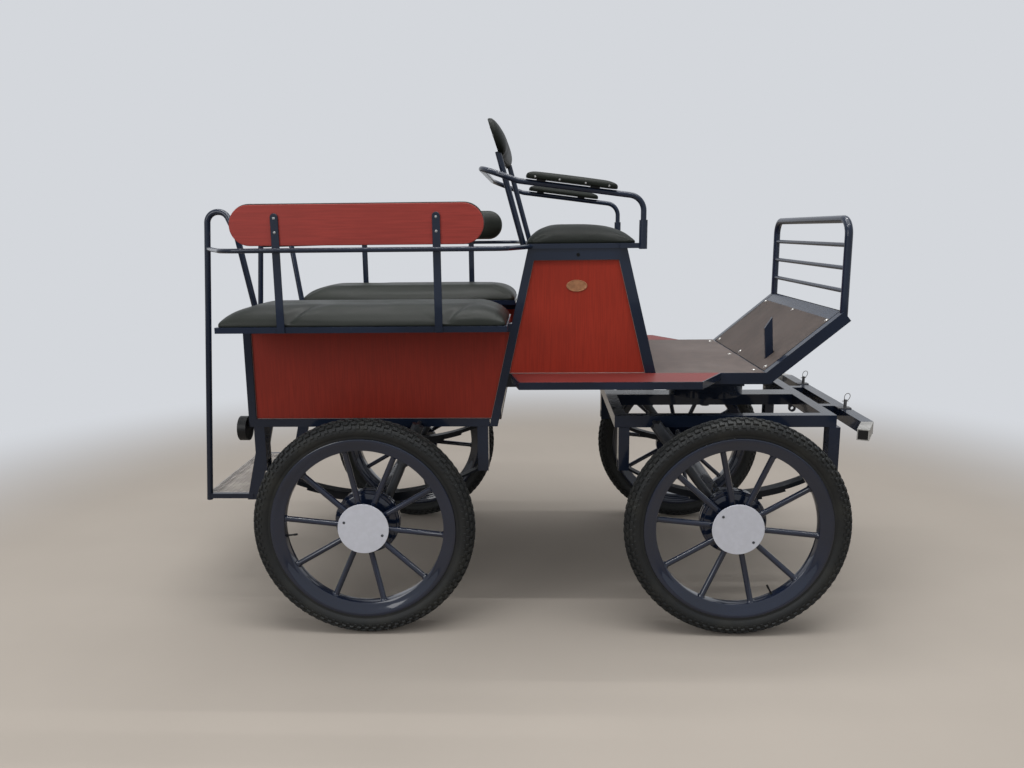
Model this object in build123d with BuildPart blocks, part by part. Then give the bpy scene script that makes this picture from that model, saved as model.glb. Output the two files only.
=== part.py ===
from build123d import *
import os
from math import asin, cos, radians, sin

os.makedirs("parts", exist_ok=True)

# Sizes are in millimetres. Stations along X are distances ahead of the rear axle,
# heights are above the ground, and half-widths are distances from the centre plane.

# Wheels and axles
WHEELBASE = 1329.0
WHEEL_HALF_TRACK = 619.5
TYRE_RADIUS = 400.0
TYRE_HALF_WIDTH = 41.0
TREAD_HALF_WIDTH = 33.0
SHOULDER_DROP = 9.0
SIDEWALL_RADIUS = 364.0
RIM_FLANGE_RADIUS = 331.0
RIM_SEAT_RADIUS = 321.0
RIM_INNER_RADIUS = 286.0
RIM_HALF_WIDTH = 33.0
RIM_BASE_HALF_WIDTH = 21.0
RIM_LIP = 4.0
BEAD_CLEARANCE = 0.3
SPOKE_RADIUS = 10.5
SPOKE_COUNT = 10
SPOKE_START_ANGLE = 30.0
HUB_RADIUS = 58.0
HUB_OUTBOARD = 22.0
HUB_INBOARD = 50.0
DRUM_RADIUS = 119.0
DRUM_INBOARD = 84.0
SPINDLE_RADIUS = 20.0
SPINDLE_OUTBOARD = 15.0
RUNNING_CLEARANCE = 0.05
CAP_RADIUS = 92.0
CAP_THICKNESS = 3.5
AXLE_RADIUS = 26.0
AXLE_TO_DRUM_GAP = 6.0

# Leaf springs and dampers
SPRING_HALF_TRACK = 420.0
SPRING_WIDTH = 45.0
LEAF_THICKNESS = 8.0
LEAF_LENGTH_STEP = 85.0
LEAF_COUNT = 4
SPRING_RISE = 112.0
FRONT_SPRING_REACH = 385.0
REAR_SPRING_REACH = 420.0
SPRING_SEAT_HEIGHT = 6.0
SPRING_EYE_RADIUS = 15.0
EYE_PIN_RADIUS = 7.0
EYE_PIN_CLEARANCE = 0.3
HANGER_EAR = 6.0
HANGER_HALF_LENGTH = 20.0
HANGER_CLEARANCE = 0.3
EYE_TO_HANGER = 8.0
CLAMP_LENGTH = 88.0
CLAMP_PLATE = 8.0
CLAMP_STUD_RADIUS = 5.0
CLAMP_STUD_INSET = 12.0
DAMPER_RADIUS = 22.0
DAMPER_BODY_RADIUS = 16.0
DAMPER_SPLIT = 0.5
DAMPER_PIN_RADIUS = 8.0
DAMPER_OUT = 34.0
REAR_DAMPER_LEAN = 130.0
FRONT_DAMPER_LEAN = -220.0
DAMPER_FOOT_STATION = 55.0
DAMPER_FOOT_HEIGHT = 44.0
DAMPER_FOOT_WIDTH = 10.0
DAMPER_FOOT_DEPTH = 30.0

# Side frames of the rear body, driver's box and platform
SIDE_HALF_WIDTH = 450.0
SIDE_TUBE = 40.0
PANEL_THICKNESS = 10.0
PANEL_INSET = 8.0
REAR_FACE = -456.0
REAR_POST = 28.0
FRAME_BOTTOM = 728.0
FRAME_BAR = 30.0
FRAME_TOP = 1110.0
SLANT_BOTTOM_STATION = 446.0
SLANT_TOP_STATION = 592.0
SLANT_WIDTH = 30.0
WELL_WALL_STATION = 476.0
WELL_WALL = 12.0
WELL_FLOOR = 12.0

# Driver's platform, footboard and box
FLOOR_TOP = 927.0
FLOOR_FRAME_DEPTH = 42.0
FLOOR_BOARD = 12.0
FLOOR_EDGE = 4.0
FLOOR_RAIL = 36.0
FLOOR_REAR = 530.0
FLOOR_BEND = 1453.0
PLATFORM_HALF_WIDTH = 455.0
LEDGE_HALF_WIDTH = 630.0
LEDGE_REAR = 560.0
LEDGE_FRONT = 1190.0
LEDGE_TAPER_END = 1290.0
LEDGE_ROOT_HALF_WIDTH = 475.0
LEDGE_DEPTH = 26.0
BOARD_CLEARANCE = 0.3
SLOPE_END = 1717.0
SLOPE_TOP = 1146.0
SLOPE_RAIL = 38.0
SLOPE_CROSS = 48.0
PEDAL_STATION = 1504.0
PEDAL_HALF_WIDTH = 300.0
PEDAL_WIDTH = 27.0
PEDAL_THICKNESS = 12.0
PEDAL_RISE = 112.0
PEDAL_TIP = 20.0
PEDAL_LEAN = 10.0
PEDAL_CLEARANCE = 4.0
BOX_TOP = 1377.0
BOX_FRONT_BASE = 1055.0
BOX_FRONT_TOP = 945.0
BOX_FRONT_BAR = 38.0
BOX_TOP_BAR = 40.0
BADGE_STATION = 767.0
BADGE_HEIGHT = 1245.0
BADGE_LENGTH = 75.0
BADGE_WIDTH = 42.0
BADGE_THICKNESS = 3.0

# Dash rail above the footboard
DASH_STATION = 1722.0
DASH_TOP = 1470.0
DASH_HALF_WIDTH = 437.0
DASH_TUBE = 14.0
DASH_BEND = 58.0
DASH_BAR = 8.0
DASH_LOW_BAR = 1218.0
DASH_BAR_PITCH = 81.0
DASH_BAR_COUNT = 3

# Driver's seat, arms and back
SEAT_REAR = 586.0
SEAT_FRONT = 977.0
SEAT_BASE = 18.0
SEAT_CUSHION = 62.0
SOCKET_STATION = 997.0
SOCKET_RADIUS = 14.5
SOCKET_BOTTOM = 1374.0
SOCKET_TOP = 1474.0
SOCKET_BRACKET = 80.0
BOW_RADIUS = 10.0
BOW_HALF_WIDTH = 472.0
BOW_FRONT_HEIGHT = 1553.0
BOW_KINK_STATION = 560.0
BOW_KINK_HEIGHT = 1612.0
BOW_REAR_STATION = 425.0
BOW_REAR_HEIGHT = 1661.0
BOW_CORNER = 120.0
BOW_BEND = 55.0
BACK_POST_HALF_WIDTH = 330.0
BACK_POST_FOOT = 586.0
BACK_POST_HEIGHT = 1724.0
BACK_POST_SKEW = 9.0
BACK_POST_LEAN = 93.0
BACK_POST_RADIUS = 11.0
BACK_PAD_HALF_WIDTH = 370.0
BACK_PAD_HEIGHT = 128.0
BACK_PAD_THICKNESS = 40.0
BACK_PAD_CENTRE_STATION = 482.0
BACK_PAD_CENTRE_HEIGHT = 1784.0
BACK_PAD_TILT = 18.0
ARM_PAD_REAR = 588.0
ARM_PAD_FRONT = 907.0
ARM_PAD_WIDTH = 70.0
ARM_PAD_THICKNESS = 25.0
ARM_BLOCK = 32.0
ARM_BLOCK_HEIGHT = 4.0
ARM_BLOCK_REAR = 642.0
ARM_BLOCK_FRONT = 829.0
PAD_TRIM = 2.0

# Side-facing benches, backrests, guard rails and entry handles
BENCH_REAR = -462.0
BENCH_FRONT = 524.0
BENCH_INNER = 300.0
BENCH_OUTER = 692.0
BENCH_BASE = 20.0
BENCH_BAR = 32.0
BENCH_CUSHION = 66.0
CUSHION_INSET = 4.0
CUSHION_ROUND = 22.0
BACKREST_REAR = -388.0
BACKREST_FRONT = 452.0
BACKREST_GAP = 7.0
BACKREST_DEPTH = 133.0
BACKREST_BOARD = 12.0
BACKREST_PAD = 42.0
BACKREST_BAR_REAR = -235.0
BACKREST_BAR_FRONT = 297.0
BACKREST_BAR_DROP = 28.0
BACKREST_BAR_WIDTH = 26.0
BACKREST_BAR = 6.0
RAIL_RADIUS = 8.0
RAIL_REAR = -621.0
RAIL_CORNER = -415.0
RAIL_REAR_BEND = 100.0
RAIL_FRONT_BEND = 60.0
RAIL_FRONT = 520.0
RAIL_END = 604.0
HANDLE_HALF_WIDTH = 300.0
HANDLE_RADIUS = 11.5
HANDLE_FOOT = -692.0
HANDLE_TOP = 1521.0
HANDLE_TOP_REAR = -613.0
HANDLE_TOP_FRONT = -545.0
HANDLE_KNEE = -497.0
HANDLE_KNEE_HEIGHT = 1430.0
HANDLE_SPLAY = 25.0
HANDLE_FRONT_FOOT = -446.0
HANDLE_BEND = 42.0

# Rear step, lamps
STEP_HEIGHT = 419.0
STEP_TUBE = 19.0
STEP_FOOT = 6.0
STEP_FRONT = -505.0
STEP_MESH = 4.0
STEP_MESH_CLEARANCE = 0.5
STEP_LEG_TOP = -435.0
STEP_LEG_FOOT = -512.0
STEP_LEG_WIDTH = 50.0
STEP_LEG_THICKNESS = 12.0
LAMP_RADIUS = 46.0
LAMP_LENGTH = 32.0
LAMP_NECK = 7.0
LAMP_NECK_WIDTH = 24.0
LAMP_HEIGHT = 719.0

# Turntable, undercarriage and splinter bar, with stations measured from the front axle
RING_RADIUS = 150.0
RING_INNER_RADIUS = 96.0
RING_THICKNESS = 24.0
RING_PLATE = 6.0
RING_GAP = 0.5
KINGPIN_RADIUS = 18.0
KINGPIN_DROP = 12.0
UNDER_TOP = 765.0
UNDER_TUBE = 44.0
UNDER_REAR = -420.0
UNDER_FRONT = 392.0
UNDER_BEAM_WIDTH = 100.0
CHASSIS_BEAM_WIDTH = 50.0
CHASSIS_HALF_WIDTH = 130.0
BAR_REAR = 465.0
BAR_DEPTH = 45.0
BAR_TOP = 750.0
BAR_HALF_LENGTH = 479.0
BAR_END_LENGTH = 140.0
BAR_END_SIZE = 40.0
BAR_END_SWEEP = 27.0
ARM_HALF_WIDTH = 190.0
ARM_TUBE = 40.0
TRACE_PIN_HALF_WIDTH = 253.0
TRACE_PIN_STATION = 490.0
TRACE_PIN_RADIUS = 6.0
TRACE_PIN_STAND = 34.0
TRACE_TAB_LENGTH = 50.0
TRACE_TAB_WIDTH = 30.0
TRACE_TAB = 4.0
LUG_STATION = 366.0
LUG_WIDTH = 30.0
LUG_DROP = 26.0
LUG_THICKNESS = 10.0
LUG_EYE_RADIUS = 7.0

# The part's origin lies on the ground below the middle of its length
FRONT_REACH = WHEELBASE + BAR_REAR + BAR_DEPTH
REAR_REACH = HANDLE_FOOT - HANDLE_RADIUS
MIDDLE = (FRONT_REACH + REAR_REACH) / 2
AXLE_HEIGHT = TYRE_RADIUS
SIDES = (("right", -1), ("left", 1))


def at(station):
    """Turn a distance ahead of the rear axle into the part's own X."""
    return station - MIDDLE


def block(stations, widths, heights, mode=Mode.ADD):
    """Add or cut a rectangular block between two stations, two places across and two heights."""
    size = [abs(pair[1] - pair[0]) for pair in (stations, widths, heights)]
    centre = (at(sum(stations) / 2), sum(widths) / 2, sum(heights) / 2)
    with Locations(centre):
        Box(*size, mode=mode)


def bar(start, end, across, depth):
    """Add a straight rectangular bar; across is its width, depth is in the bar's own side view."""
    first = Vector(at(start[0]), start[1], start[2])
    run = Vector(at(end[0]), end[1], end[2]) - first
    sideways = abs(run.Y) > 0.9 * run.length
    section_plane = Plane(origin=first, x_dir=(1, 0, 0) if sideways else (0, 1, 0), z_dir=run)
    with BuildSketch(section_plane) as section:
        Rectangle(across, depth)
    extrude(section.sketch, amount=run.length)


def rod(start, end, radius):
    """Add a straight round rod between two points."""
    first = Vector(at(start[0]), start[1], start[2])
    run = Vector(at(end[0]), end[1], end[2]) - first
    with BuildSketch(Plane(origin=first, z_dir=run)) as section:
        Circle(radius)
    extrude(section.sketch, amount=run.length)


def bent_tube(points, radius, bends):
    """Add a round tube along straight runs joined by arcs."""
    corners = [(at(x), y, z) for x, y, z in points]
    with BuildLine() as route:
        FilletPolyline(*corners, radius=bends)
    with BuildSketch(Plane(origin=route.line @ 0, z_dir=route.line % 0)) as section:
        Circle(radius)
    sweep(section.sketch, path=route.line)


def side_plate(corners, half_width, thickness, side):
    """Add a flat plate whose outline is given by stations and heights, outer face at half_width."""
    outline_plane = Plane(origin=(0, side * half_width, 0), x_dir=(1, 0, 0), z_dir=(0, -1, 0))
    with BuildSketch(outline_plane) as outline:
        with BuildLine():
            Polyline(*[(at(x), z) for x, z in corners], close=True)
        make_face()
    extrude(outline.sketch, amount=side * thickness)


def turned(profile, station, side):
    """Add a body turned about a wheel's axis from (outboard, radius) corners."""
    centre = (at(station), side * WHEEL_HALF_TRACK, AXLE_HEIGHT)
    profile_plane = Plane(origin=centre, x_dir=(0, side, 0), z_dir=(side, 0, 0))
    with BuildSketch(profile_plane) as section:
        with BuildLine():
            Polyline(*profile, close=True)
        make_face()
    revolve(section.sketch, axis=Axis(centre, (0, 1, 0)))


def slant_station(height):
    """Station of the slanted post's rear edge at a height."""
    share = (height - FRAME_BOTTOM) / (BOX_TOP - FRAME_BOTTOM)
    return SLANT_BOTTOM_STATION + share * (SLANT_TOP_STATION - SLANT_BOTTOM_STATION)


def box_front_station(height):
    """Station of the driver's box front edge at a height."""
    share = (height - FLOOR_TOP) / (BOX_TOP - FLOOR_TOP)
    return BOX_FRONT_BASE + share * (BOX_FRONT_TOP - BOX_FRONT_BASE)


def slope_height(station):
    """Height of the sloping footboard's face at a station."""
    share = (station - FLOOR_BEND) / (SLOPE_END - FLOOR_BEND)
    return FLOOR_TOP + share * (SLOPE_TOP - FLOOR_TOP)


def bow_top(station):
    """Height of the armrest bow's upper side at a station."""
    rise = (BOW_KINK_HEIGHT - BOW_FRONT_HEIGHT) / (SOCKET_STATION - BOW_KINK_STATION)
    return BOW_FRONT_HEIGHT + rise * (SOCKET_STATION - station) + BOW_RADIUS


SIDE_INNER = SIDE_HALF_WIDTH - SIDE_TUBE
FLOOR_BOTTOM = FLOOR_TOP - FLOOR_FRAME_DEPTH
SPRING_BASE = AXLE_HEIGHT + AXLE_RADIUS + SPRING_SEAT_HEIGHT
SPRING_TOP = SPRING_BASE + LEAF_COUNT * LEAF_THICKNESS
EYE_HEIGHT = SPRING_TOP - LEAF_THICKNESS / 2 + SPRING_RISE
EAR_OUT = SPRING_WIDTH / 2 + HANGER_CLEARANCE
RAIL_HEIGHT = BOX_TOP + RAIL_RADIUS
BACKREST_BOTTOM = RAIL_HEIGHT + RAIL_RADIUS + BACKREST_GAP
BACKREST_TOP = BACKREST_BOTTOM + BACKREST_DEPTH
STEP_BOTTOM = STEP_HEIGHT - STEP_TUBE


def spring_pack(axle_station, reach, side):
    """Add a stack of curved leaves whose longest has an eye at each end."""
    lead = SPRING_TOP - LEAF_THICKNESS / 2
    bow_radius = (reach**2 + SPRING_RISE**2) / (2 * SPRING_RISE)
    bow_centre = lead + bow_radius
    plane = Plane(origin=(at(axle_station), side * SPRING_HALF_TRACK, 0), x_dir=(1, 0, 0), z_dir=(0, -1, 0))
    for leaf in range(LEAF_COUNT):
        half_angle = asin((reach - leaf * LEAF_LENGTH_STEP) / bow_radius)
        inner = bow_radius + (leaf - 0.5) * LEAF_THICKNESS
        outer = inner + LEAF_THICKNESS
        edge = [(r * sin(half_angle), bow_centre - r * cos(half_angle)) for r in (inner, outer)]
        with BuildSketch(plane) as section:
            with BuildLine():
                ThreePointArc((-edge[0][0], edge[0][1]), (0, bow_centre - inner), edge[0])
                Line(edge[0], edge[1])
                ThreePointArc(edge[1], (0, bow_centre - outer), (-edge[1][0], edge[1][1]))
                Line((-edge[1][0], edge[1][1]), (-edge[0][0], edge[0][1]))
            make_face()
        extrude(section.sketch, amount=SPRING_WIDTH / 2, both=True)
    with BuildSketch(plane) as eyes:
        with Locations((-reach, EYE_HEIGHT), (reach, EYE_HEIGHT)):
            Circle(SPRING_EYE_RADIUS)
    extrude(eyes.sketch, amount=SPRING_WIDTH / 2, both=True)
    with BuildSketch(plane) as bores:
        with Locations((-reach, EYE_HEIGHT), (reach, EYE_HEIGHT)):
            Circle(EYE_PIN_RADIUS + EYE_PIN_CLEARANCE)
    extrude(bores.sketch, amount=SPRING_WIDTH, both=True, mode=Mode.SUBTRACT)


def spring_hanger(station, side, top):
    """Add the post, two ears and pin that hold one spring eye below a frame."""
    post_bottom = EYE_HEIGHT + SPRING_EYE_RADIUS + EYE_TO_HANGER
    middle = side * SPRING_HALF_TRACK
    block((station - HANGER_HALF_LENGTH, station + HANGER_HALF_LENGTH),
          (middle - EAR_OUT - HANGER_EAR, middle + EAR_OUT + HANGER_EAR), (post_bottom, top))
    for face in (-1, 1):
        block((station - HANGER_HALF_LENGTH, station + HANGER_HALF_LENGTH),
              (middle + face * EAR_OUT, middle + face * (EAR_OUT + HANGER_EAR)),
              (EYE_HEIGHT - SPRING_EYE_RADIUS, post_bottom))
    rod((station, middle - EAR_OUT - HANGER_EAR, EYE_HEIGHT),
        (station, middle + EAR_OUT + HANGER_EAR, EYE_HEIGHT), EYE_PIN_RADIUS)


def axle(axle_station, damper_lean):
    """Add an axle tube with its spindles, spring seats, clamps and damper feet."""
    beam_end = WHEEL_HALF_TRACK - DRUM_INBOARD - AXLE_TO_DRUM_GAP
    spindle_end = WHEEL_HALF_TRACK + SPINDLE_OUTBOARD
    rod((axle_station, -beam_end, AXLE_HEIGHT), (axle_station, beam_end, AXLE_HEIGHT), AXLE_RADIUS)
    rod((axle_station, -spindle_end, AXLE_HEIGHT), (axle_station, spindle_end, AXLE_HEIGHT),
        SPINDLE_RADIUS)
    half = CLAMP_LENGTH / 2
    stud_out = SPRING_WIDTH / 2 + CLAMP_STUD_RADIUS + HANGER_CLEARANCE
    plate_out = stud_out + CLAMP_STUD_RADIUS
    for side in (-1, 1):
        middle = side * SPRING_HALF_TRACK
        clamp_widths = (middle - plate_out, middle + plate_out)
        seat = (AXLE_HEIGHT, SPRING_BASE)
        clamp_base = SPRING_TOP + clamp_crown()
        block((axle_station - half, axle_station + half), clamp_widths, seat)
        block((axle_station - half, axle_station + half), clamp_widths,
              (clamp_base, clamp_base + CLAMP_PLATE))
        for along in (-1, 1):
            for face in (-1, 1):
                stud = (axle_station + along * (half - CLAMP_STUD_INSET), middle + face * stud_out)
                rod((*stud, AXLE_HEIGHT), (*stud, clamp_base + CLAMP_PLATE), CLAMP_STUD_RADIUS)
        foot = axle_station + (DAMPER_FOOT_STATION if damper_lean > 0 else -DAMPER_FOOT_STATION)
        damper_y = side * (SIDE_HALF_WIDTH + DAMPER_OUT)
        foot_height = AXLE_HEIGHT + DAMPER_FOOT_HEIGHT
        bar((axle_station, damper_y, AXLE_HEIGHT), (foot, damper_y, foot_height),
            DAMPER_FOOT_WIDTH, DAMPER_FOOT_DEPTH)


def clamp_crown():
    """Height that the curved top leaf gains at the ends of its clamp plate."""
    reach = min(FRONT_SPRING_REACH, REAR_SPRING_REACH)
    bow_radius = (reach**2 + SPRING_RISE**2) / (2 * SPRING_RISE)
    return bow_radius - (bow_radius**2 - (CLAMP_LENGTH / 2)**2)**0.5


def damper(axle_station, lean, top, side):
    """Add one damper: a wide upper cover, a slimmer body and a pin at each end."""
    foot = axle_station + (DAMPER_FOOT_STATION if lean > 0 else -DAMPER_FOOT_STATION)
    out = side * (SIDE_HALF_WIDTH + DAMPER_OUT)
    low = (foot, out, AXLE_HEIGHT + DAMPER_FOOT_HEIGHT)
    high = (foot + lean, out, top)
    middle = tuple(a + DAMPER_SPLIT * (b - a) for a, b in zip(low, high))
    rod(low, middle, DAMPER_BODY_RADIUS)
    rod(middle, high, DAMPER_RADIUS)
    rod((foot + lean, side * SIDE_HALF_WIDTH, top), (foot + lean, out + side * DAMPER_RADIUS, top),
        DAMPER_PIN_RADIUS)


def platform_outline(inset):
    """Corners of the driver's platform seen from above, moved in by an inset."""
    right = [
        (FLOOR_REAR, LEDGE_ROOT_HALF_WIDTH),
        (LEDGE_REAR, LEDGE_HALF_WIDTH),
        (LEDGE_FRONT, LEDGE_HALF_WIDTH),
        (LEDGE_TAPER_END, PLATFORM_HALF_WIDTH),
        (FLOOR_BEND, PLATFORM_HALF_WIDTH),
    ]
    loop = [(at(x), -y) for x, y in right] + [(at(x), y) for x, y in reversed(right)]
    with BuildSketch(mode=Mode.PRIVATE) as outline:
        with BuildLine():
            Polyline(*loop, close=True)
        make_face()
        if inset:
            offset(amount=-inset, kind=Kind.INTERSECTION, mode=Mode.REPLACE)
    return outline.sketch


# Driver's platform: a welded frame with a raised edge that holds the boards
with BuildPart() as floor_frame:
    with BuildSketch(Plane.XY.offset(FLOOR_BOTTOM)) as rails:
        add(platform_outline(0))
        add(platform_outline(FLOOR_RAIL), mode=Mode.SUBTRACT)
    extrude(amount=FLOOR_FRAME_DEPTH - FLOOR_BOARD)
    with BuildSketch(Plane.XY.offset(FLOOR_TOP - FLOOR_BOARD)) as edging:
        add(platform_outline(0))
        add(platform_outline(FLOOR_EDGE), mode=Mode.SUBTRACT)
    extrude(amount=FLOOR_BOARD)
    bearer = (FLOOR_BOTTOM, FLOOR_TOP - FLOOR_BOARD)
    for side in (-1, 1):
        block((FLOOR_REAR + FLOOR_RAIL, FLOOR_BEND - FLOOR_RAIL),
              (side * SIDE_INNER, side * SIDE_HALF_WIDTH), bearer)
    for station in (WHEELBASE - RING_RADIUS, WHEELBASE + RING_RADIUS - FLOOR_RAIL, BOX_FRONT_BASE - FLOOR_RAIL):
        block((station, station + FLOOR_RAIL), (-SIDE_HALF_WIDTH, SIDE_HALF_WIDTH), bearer)
    for side in (-1, 1):
        block((FLOOR_REAR, LEDGE_TAPER_END), (side * PLATFORM_HALF_WIDTH, side * LEDGE_HALF_WIDTH),
              (FLOOR_BOTTOM, FLOOR_TOP - LEDGE_DEPTH), mode=Mode.SUBTRACT)
floor_frame.part.label = "floor_frame"
export_step(floor_frame.part, "parts/floor_frame.step")

with BuildPart() as floor_board:
    with BuildSketch(Plane.XY.offset(FLOOR_TOP - FLOOR_BOARD)) as board:
        add(platform_outline(FLOOR_EDGE + BOARD_CLEARANCE))
        with Locations((at((FLOOR_REAR + FLOOR_BEND) / 2), 0)):
            Rectangle(FLOOR_BEND - FLOOR_REAR, 2 * SIDE_HALF_WIDTH, mode=Mode.INTERSECT)
    extrude(amount=FLOOR_BOARD)
floor_board.part.label = "floor_board"
export_step(floor_board.part, "parts/floor_board.step")

with BuildPart() as ledge_boards:
    with BuildSketch(Plane.XY.offset(FLOOR_TOP - FLOOR_BOARD)) as ledges:
        add(platform_outline(FLOOR_EDGE + BOARD_CLEARANCE))
        with Locations((at((FLOOR_REAR + FLOOR_BEND) / 2), 0)):
            Rectangle(FLOOR_BEND - FLOOR_REAR, 2 * (SIDE_HALF_WIDTH + BOARD_CLEARANCE), mode=Mode.SUBTRACT)
    extrude(amount=FLOOR_BOARD)
ledge_boards.part.label = "ledge_boards"
export_step(ledge_boards.part, "parts/ledge_boards.step")

# Sloping footboard: its own plane rises forward from the floor's front edge
slope_run = Vector(SLOPE_END - FLOOR_BEND, 0, SLOPE_TOP - FLOOR_TOP)
slope_length = slope_run.length
slope_out = Vector(slope_run.Z, 0, -slope_run.X).normalized() * FLOOR_FRAME_DEPTH
slope_knee = FLOOR_FRAME_DEPTH * (slope_length - slope_run.X) / slope_run.Z
slope_plane = Plane(
    origin=(at(FLOOR_BEND), 0, FLOOR_TOP),
    x_dir=slope_run,
    z_dir=(-slope_run.Z, 0, slope_run.X),
)

with BuildPart() as footboard_frame:
    for side in (-1, 1):
        side_plate(
            (
                (FLOOR_BEND, FLOOR_BOTTOM),
                (FLOOR_BEND, FLOOR_TOP),
                (SLOPE_END, SLOPE_TOP),
                (SLOPE_END + slope_out.X, SLOPE_TOP + slope_out.Z),
                (FLOOR_BEND + slope_knee, FLOOR_BOTTOM),
            ),
            PLATFORM_HALF_WIDTH, SLOPE_RAIL, side,
        )
    with BuildSketch(slope_plane) as top_plate:
        with Locations((slope_length - SLOPE_CROSS / 2, 0)):
            Rectangle(SLOPE_CROSS, 2 * PLATFORM_HALF_WIDTH)
    extrude(amount=-FLOOR_BOARD)
    with BuildSketch(slope_plane.offset(-FLOOR_BOARD)) as under_bars:
        with Locations((1.5 * FLOOR_RAIL, 0), (slope_length - FLOOR_RAIL / 2, 0)):
            Rectangle(FLOOR_RAIL, 2 * (PLATFORM_HALF_WIDTH - SLOPE_RAIL))
    extrude(amount=-(FLOOR_FRAME_DEPTH - FLOOR_BOARD) / 2)
    add(floor_frame.part, mode=Mode.SUBTRACT)
footboard_frame.part.label = "footboard_frame"
export_step(footboard_frame.part, "parts/footboard_frame.step")

with BuildPart() as footboard:
    board_length = slope_length - SLOPE_CROSS
    with BuildSketch(slope_plane) as slope_board:
        with Locations((board_length / 2, 0)):
            Rectangle(board_length, 2 * (PLATFORM_HALF_WIDTH - SLOPE_RAIL))
    extrude(amount=-FLOOR_BOARD)
    slot = PEDAL_WIDTH / 2 + PEDAL_CLEARANCE
    slot_across = PEDAL_THICKNESS / 2 + PEDAL_CLEARANCE
    block((PEDAL_STATION - slot, PEDAL_STATION + slot),
          (-PEDAL_HALF_WIDTH - slot_across, -PEDAL_HALF_WIDTH + slot_across),
          (FLOOR_BOTTOM, SLOPE_TOP), mode=Mode.SUBTRACT)
    add(footboard_frame.part, mode=Mode.SUBTRACT)
    add(floor_frame.part, mode=Mode.SUBTRACT)
footboard.part.label = "footboard"
export_step(footboard.part, "parts/footboard.step")

# Brake pedal: one upright arm that passes through the board's slot to the bar below it
with BuildPart() as brake_pedal:
    pedal_rear = PEDAL_STATION - PEDAL_WIDTH / 2
    pedal_front = PEDAL_STATION + PEDAL_WIDTH / 2
    side_plate(
        (
            (pedal_rear, slope_height(pedal_rear) - 2 * FLOOR_BOARD),
            (pedal_rear - PEDAL_LEAN, slope_height(pedal_rear) + PEDAL_RISE),
            (pedal_front - PEDAL_LEAN, slope_height(pedal_front) + PEDAL_RISE + PEDAL_TIP),
            (pedal_front, slope_height(pedal_front) - 2 * FLOOR_BOARD),
        ),
        PEDAL_HALF_WIDTH + PEDAL_THICKNESS / 2, PEDAL_THICKNESS, -1,
    )
    add(footboard_frame.part, mode=Mode.SUBTRACT)
brake_pedal.part.label = "brake_pedal"
export_step(brake_pedal.part, "parts/brake_pedal.step")

with BuildPart() as dash_rail:
    foot = SLOPE_TOP - FLOOR_FRAME_DEPTH / 2
    bent_tube(
        (
            (DASH_STATION, -DASH_HALF_WIDTH, foot),
            (DASH_STATION, -DASH_HALF_WIDTH, DASH_TOP),
            (DASH_STATION, DASH_HALF_WIDTH, DASH_TOP),
            (DASH_STATION, DASH_HALF_WIDTH, foot),
        ),
        DASH_TUBE, DASH_BEND,
    )
    for index in range(DASH_BAR_COUNT):
        height = DASH_LOW_BAR + index * DASH_BAR_PITCH
        rod((DASH_STATION, -DASH_HALF_WIDTH, height), (DASH_STATION, DASH_HALF_WIDTH, height), DASH_BAR)
    add(footboard_frame.part, mode=Mode.SUBTRACT)
dash_rail.part.label = "dash_rail"
export_step(dash_rail.part, "parts/dash_rail.step")

# Driver's box: two side frames whose rear posts run on down to the rear body
with BuildPart() as box_frame:
    for name, side in SIDES:
        side_plate(
            (
                (slant_station(FRAME_BOTTOM), FRAME_BOTTOM),
                (slant_station(BOX_TOP), BOX_TOP),
                (BOX_FRONT_TOP, BOX_TOP),
                (BOX_FRONT_BASE, FLOOR_TOP),
                (BOX_FRONT_BASE - BOX_FRONT_BAR, FLOOR_TOP),
                (box_front_station(BOX_TOP - BOX_TOP_BAR) - BOX_FRONT_BAR, BOX_TOP - BOX_TOP_BAR),
                (slant_station(BOX_TOP - BOX_TOP_BAR) + SLANT_WIDTH, BOX_TOP - BOX_TOP_BAR),
                (slant_station(FRAME_BOTTOM) + SLANT_WIDTH, FRAME_BOTTOM),
            ),
            SIDE_HALF_WIDTH, SIDE_TUBE, side,
        )
    top_bar = (BOX_TOP - BOX_TOP_BAR, BOX_TOP)
    block((SLANT_TOP_STATION, SLANT_TOP_STATION + SLANT_WIDTH), (-SIDE_INNER, SIDE_INNER), top_bar)
    block((BOX_FRONT_TOP - SLANT_WIDTH, BOX_FRONT_TOP), (-SIDE_INNER, SIDE_INNER), top_bar)
    add(floor_frame.part, mode=Mode.SUBTRACT)
    add(floor_board.part, mode=Mode.SUBTRACT)
box_frame.part.label = "box_frame"
export_step(box_frame.part, "parts/box_frame.step")

with BuildPart() as box_side_panels:
    for name, side in SIDES:
        side_plate(
            (
                (slant_station(FLOOR_TOP) + SLANT_WIDTH, FLOOR_TOP),
                (slant_station(BOX_TOP - BOX_TOP_BAR) + SLANT_WIDTH, BOX_TOP - BOX_TOP_BAR),
                (box_front_station(BOX_TOP - BOX_TOP_BAR) - BOX_FRONT_BAR, BOX_TOP - BOX_TOP_BAR),
                (BOX_FRONT_BASE - BOX_FRONT_BAR, FLOOR_TOP),
            ),
            SIDE_HALF_WIDTH - PANEL_INSET, PANEL_THICKNESS, side,
        )
box_side_panels.part.label = "box_side_panels"
export_step(box_side_panels.part, "parts/box_side_panels.step")

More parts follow.
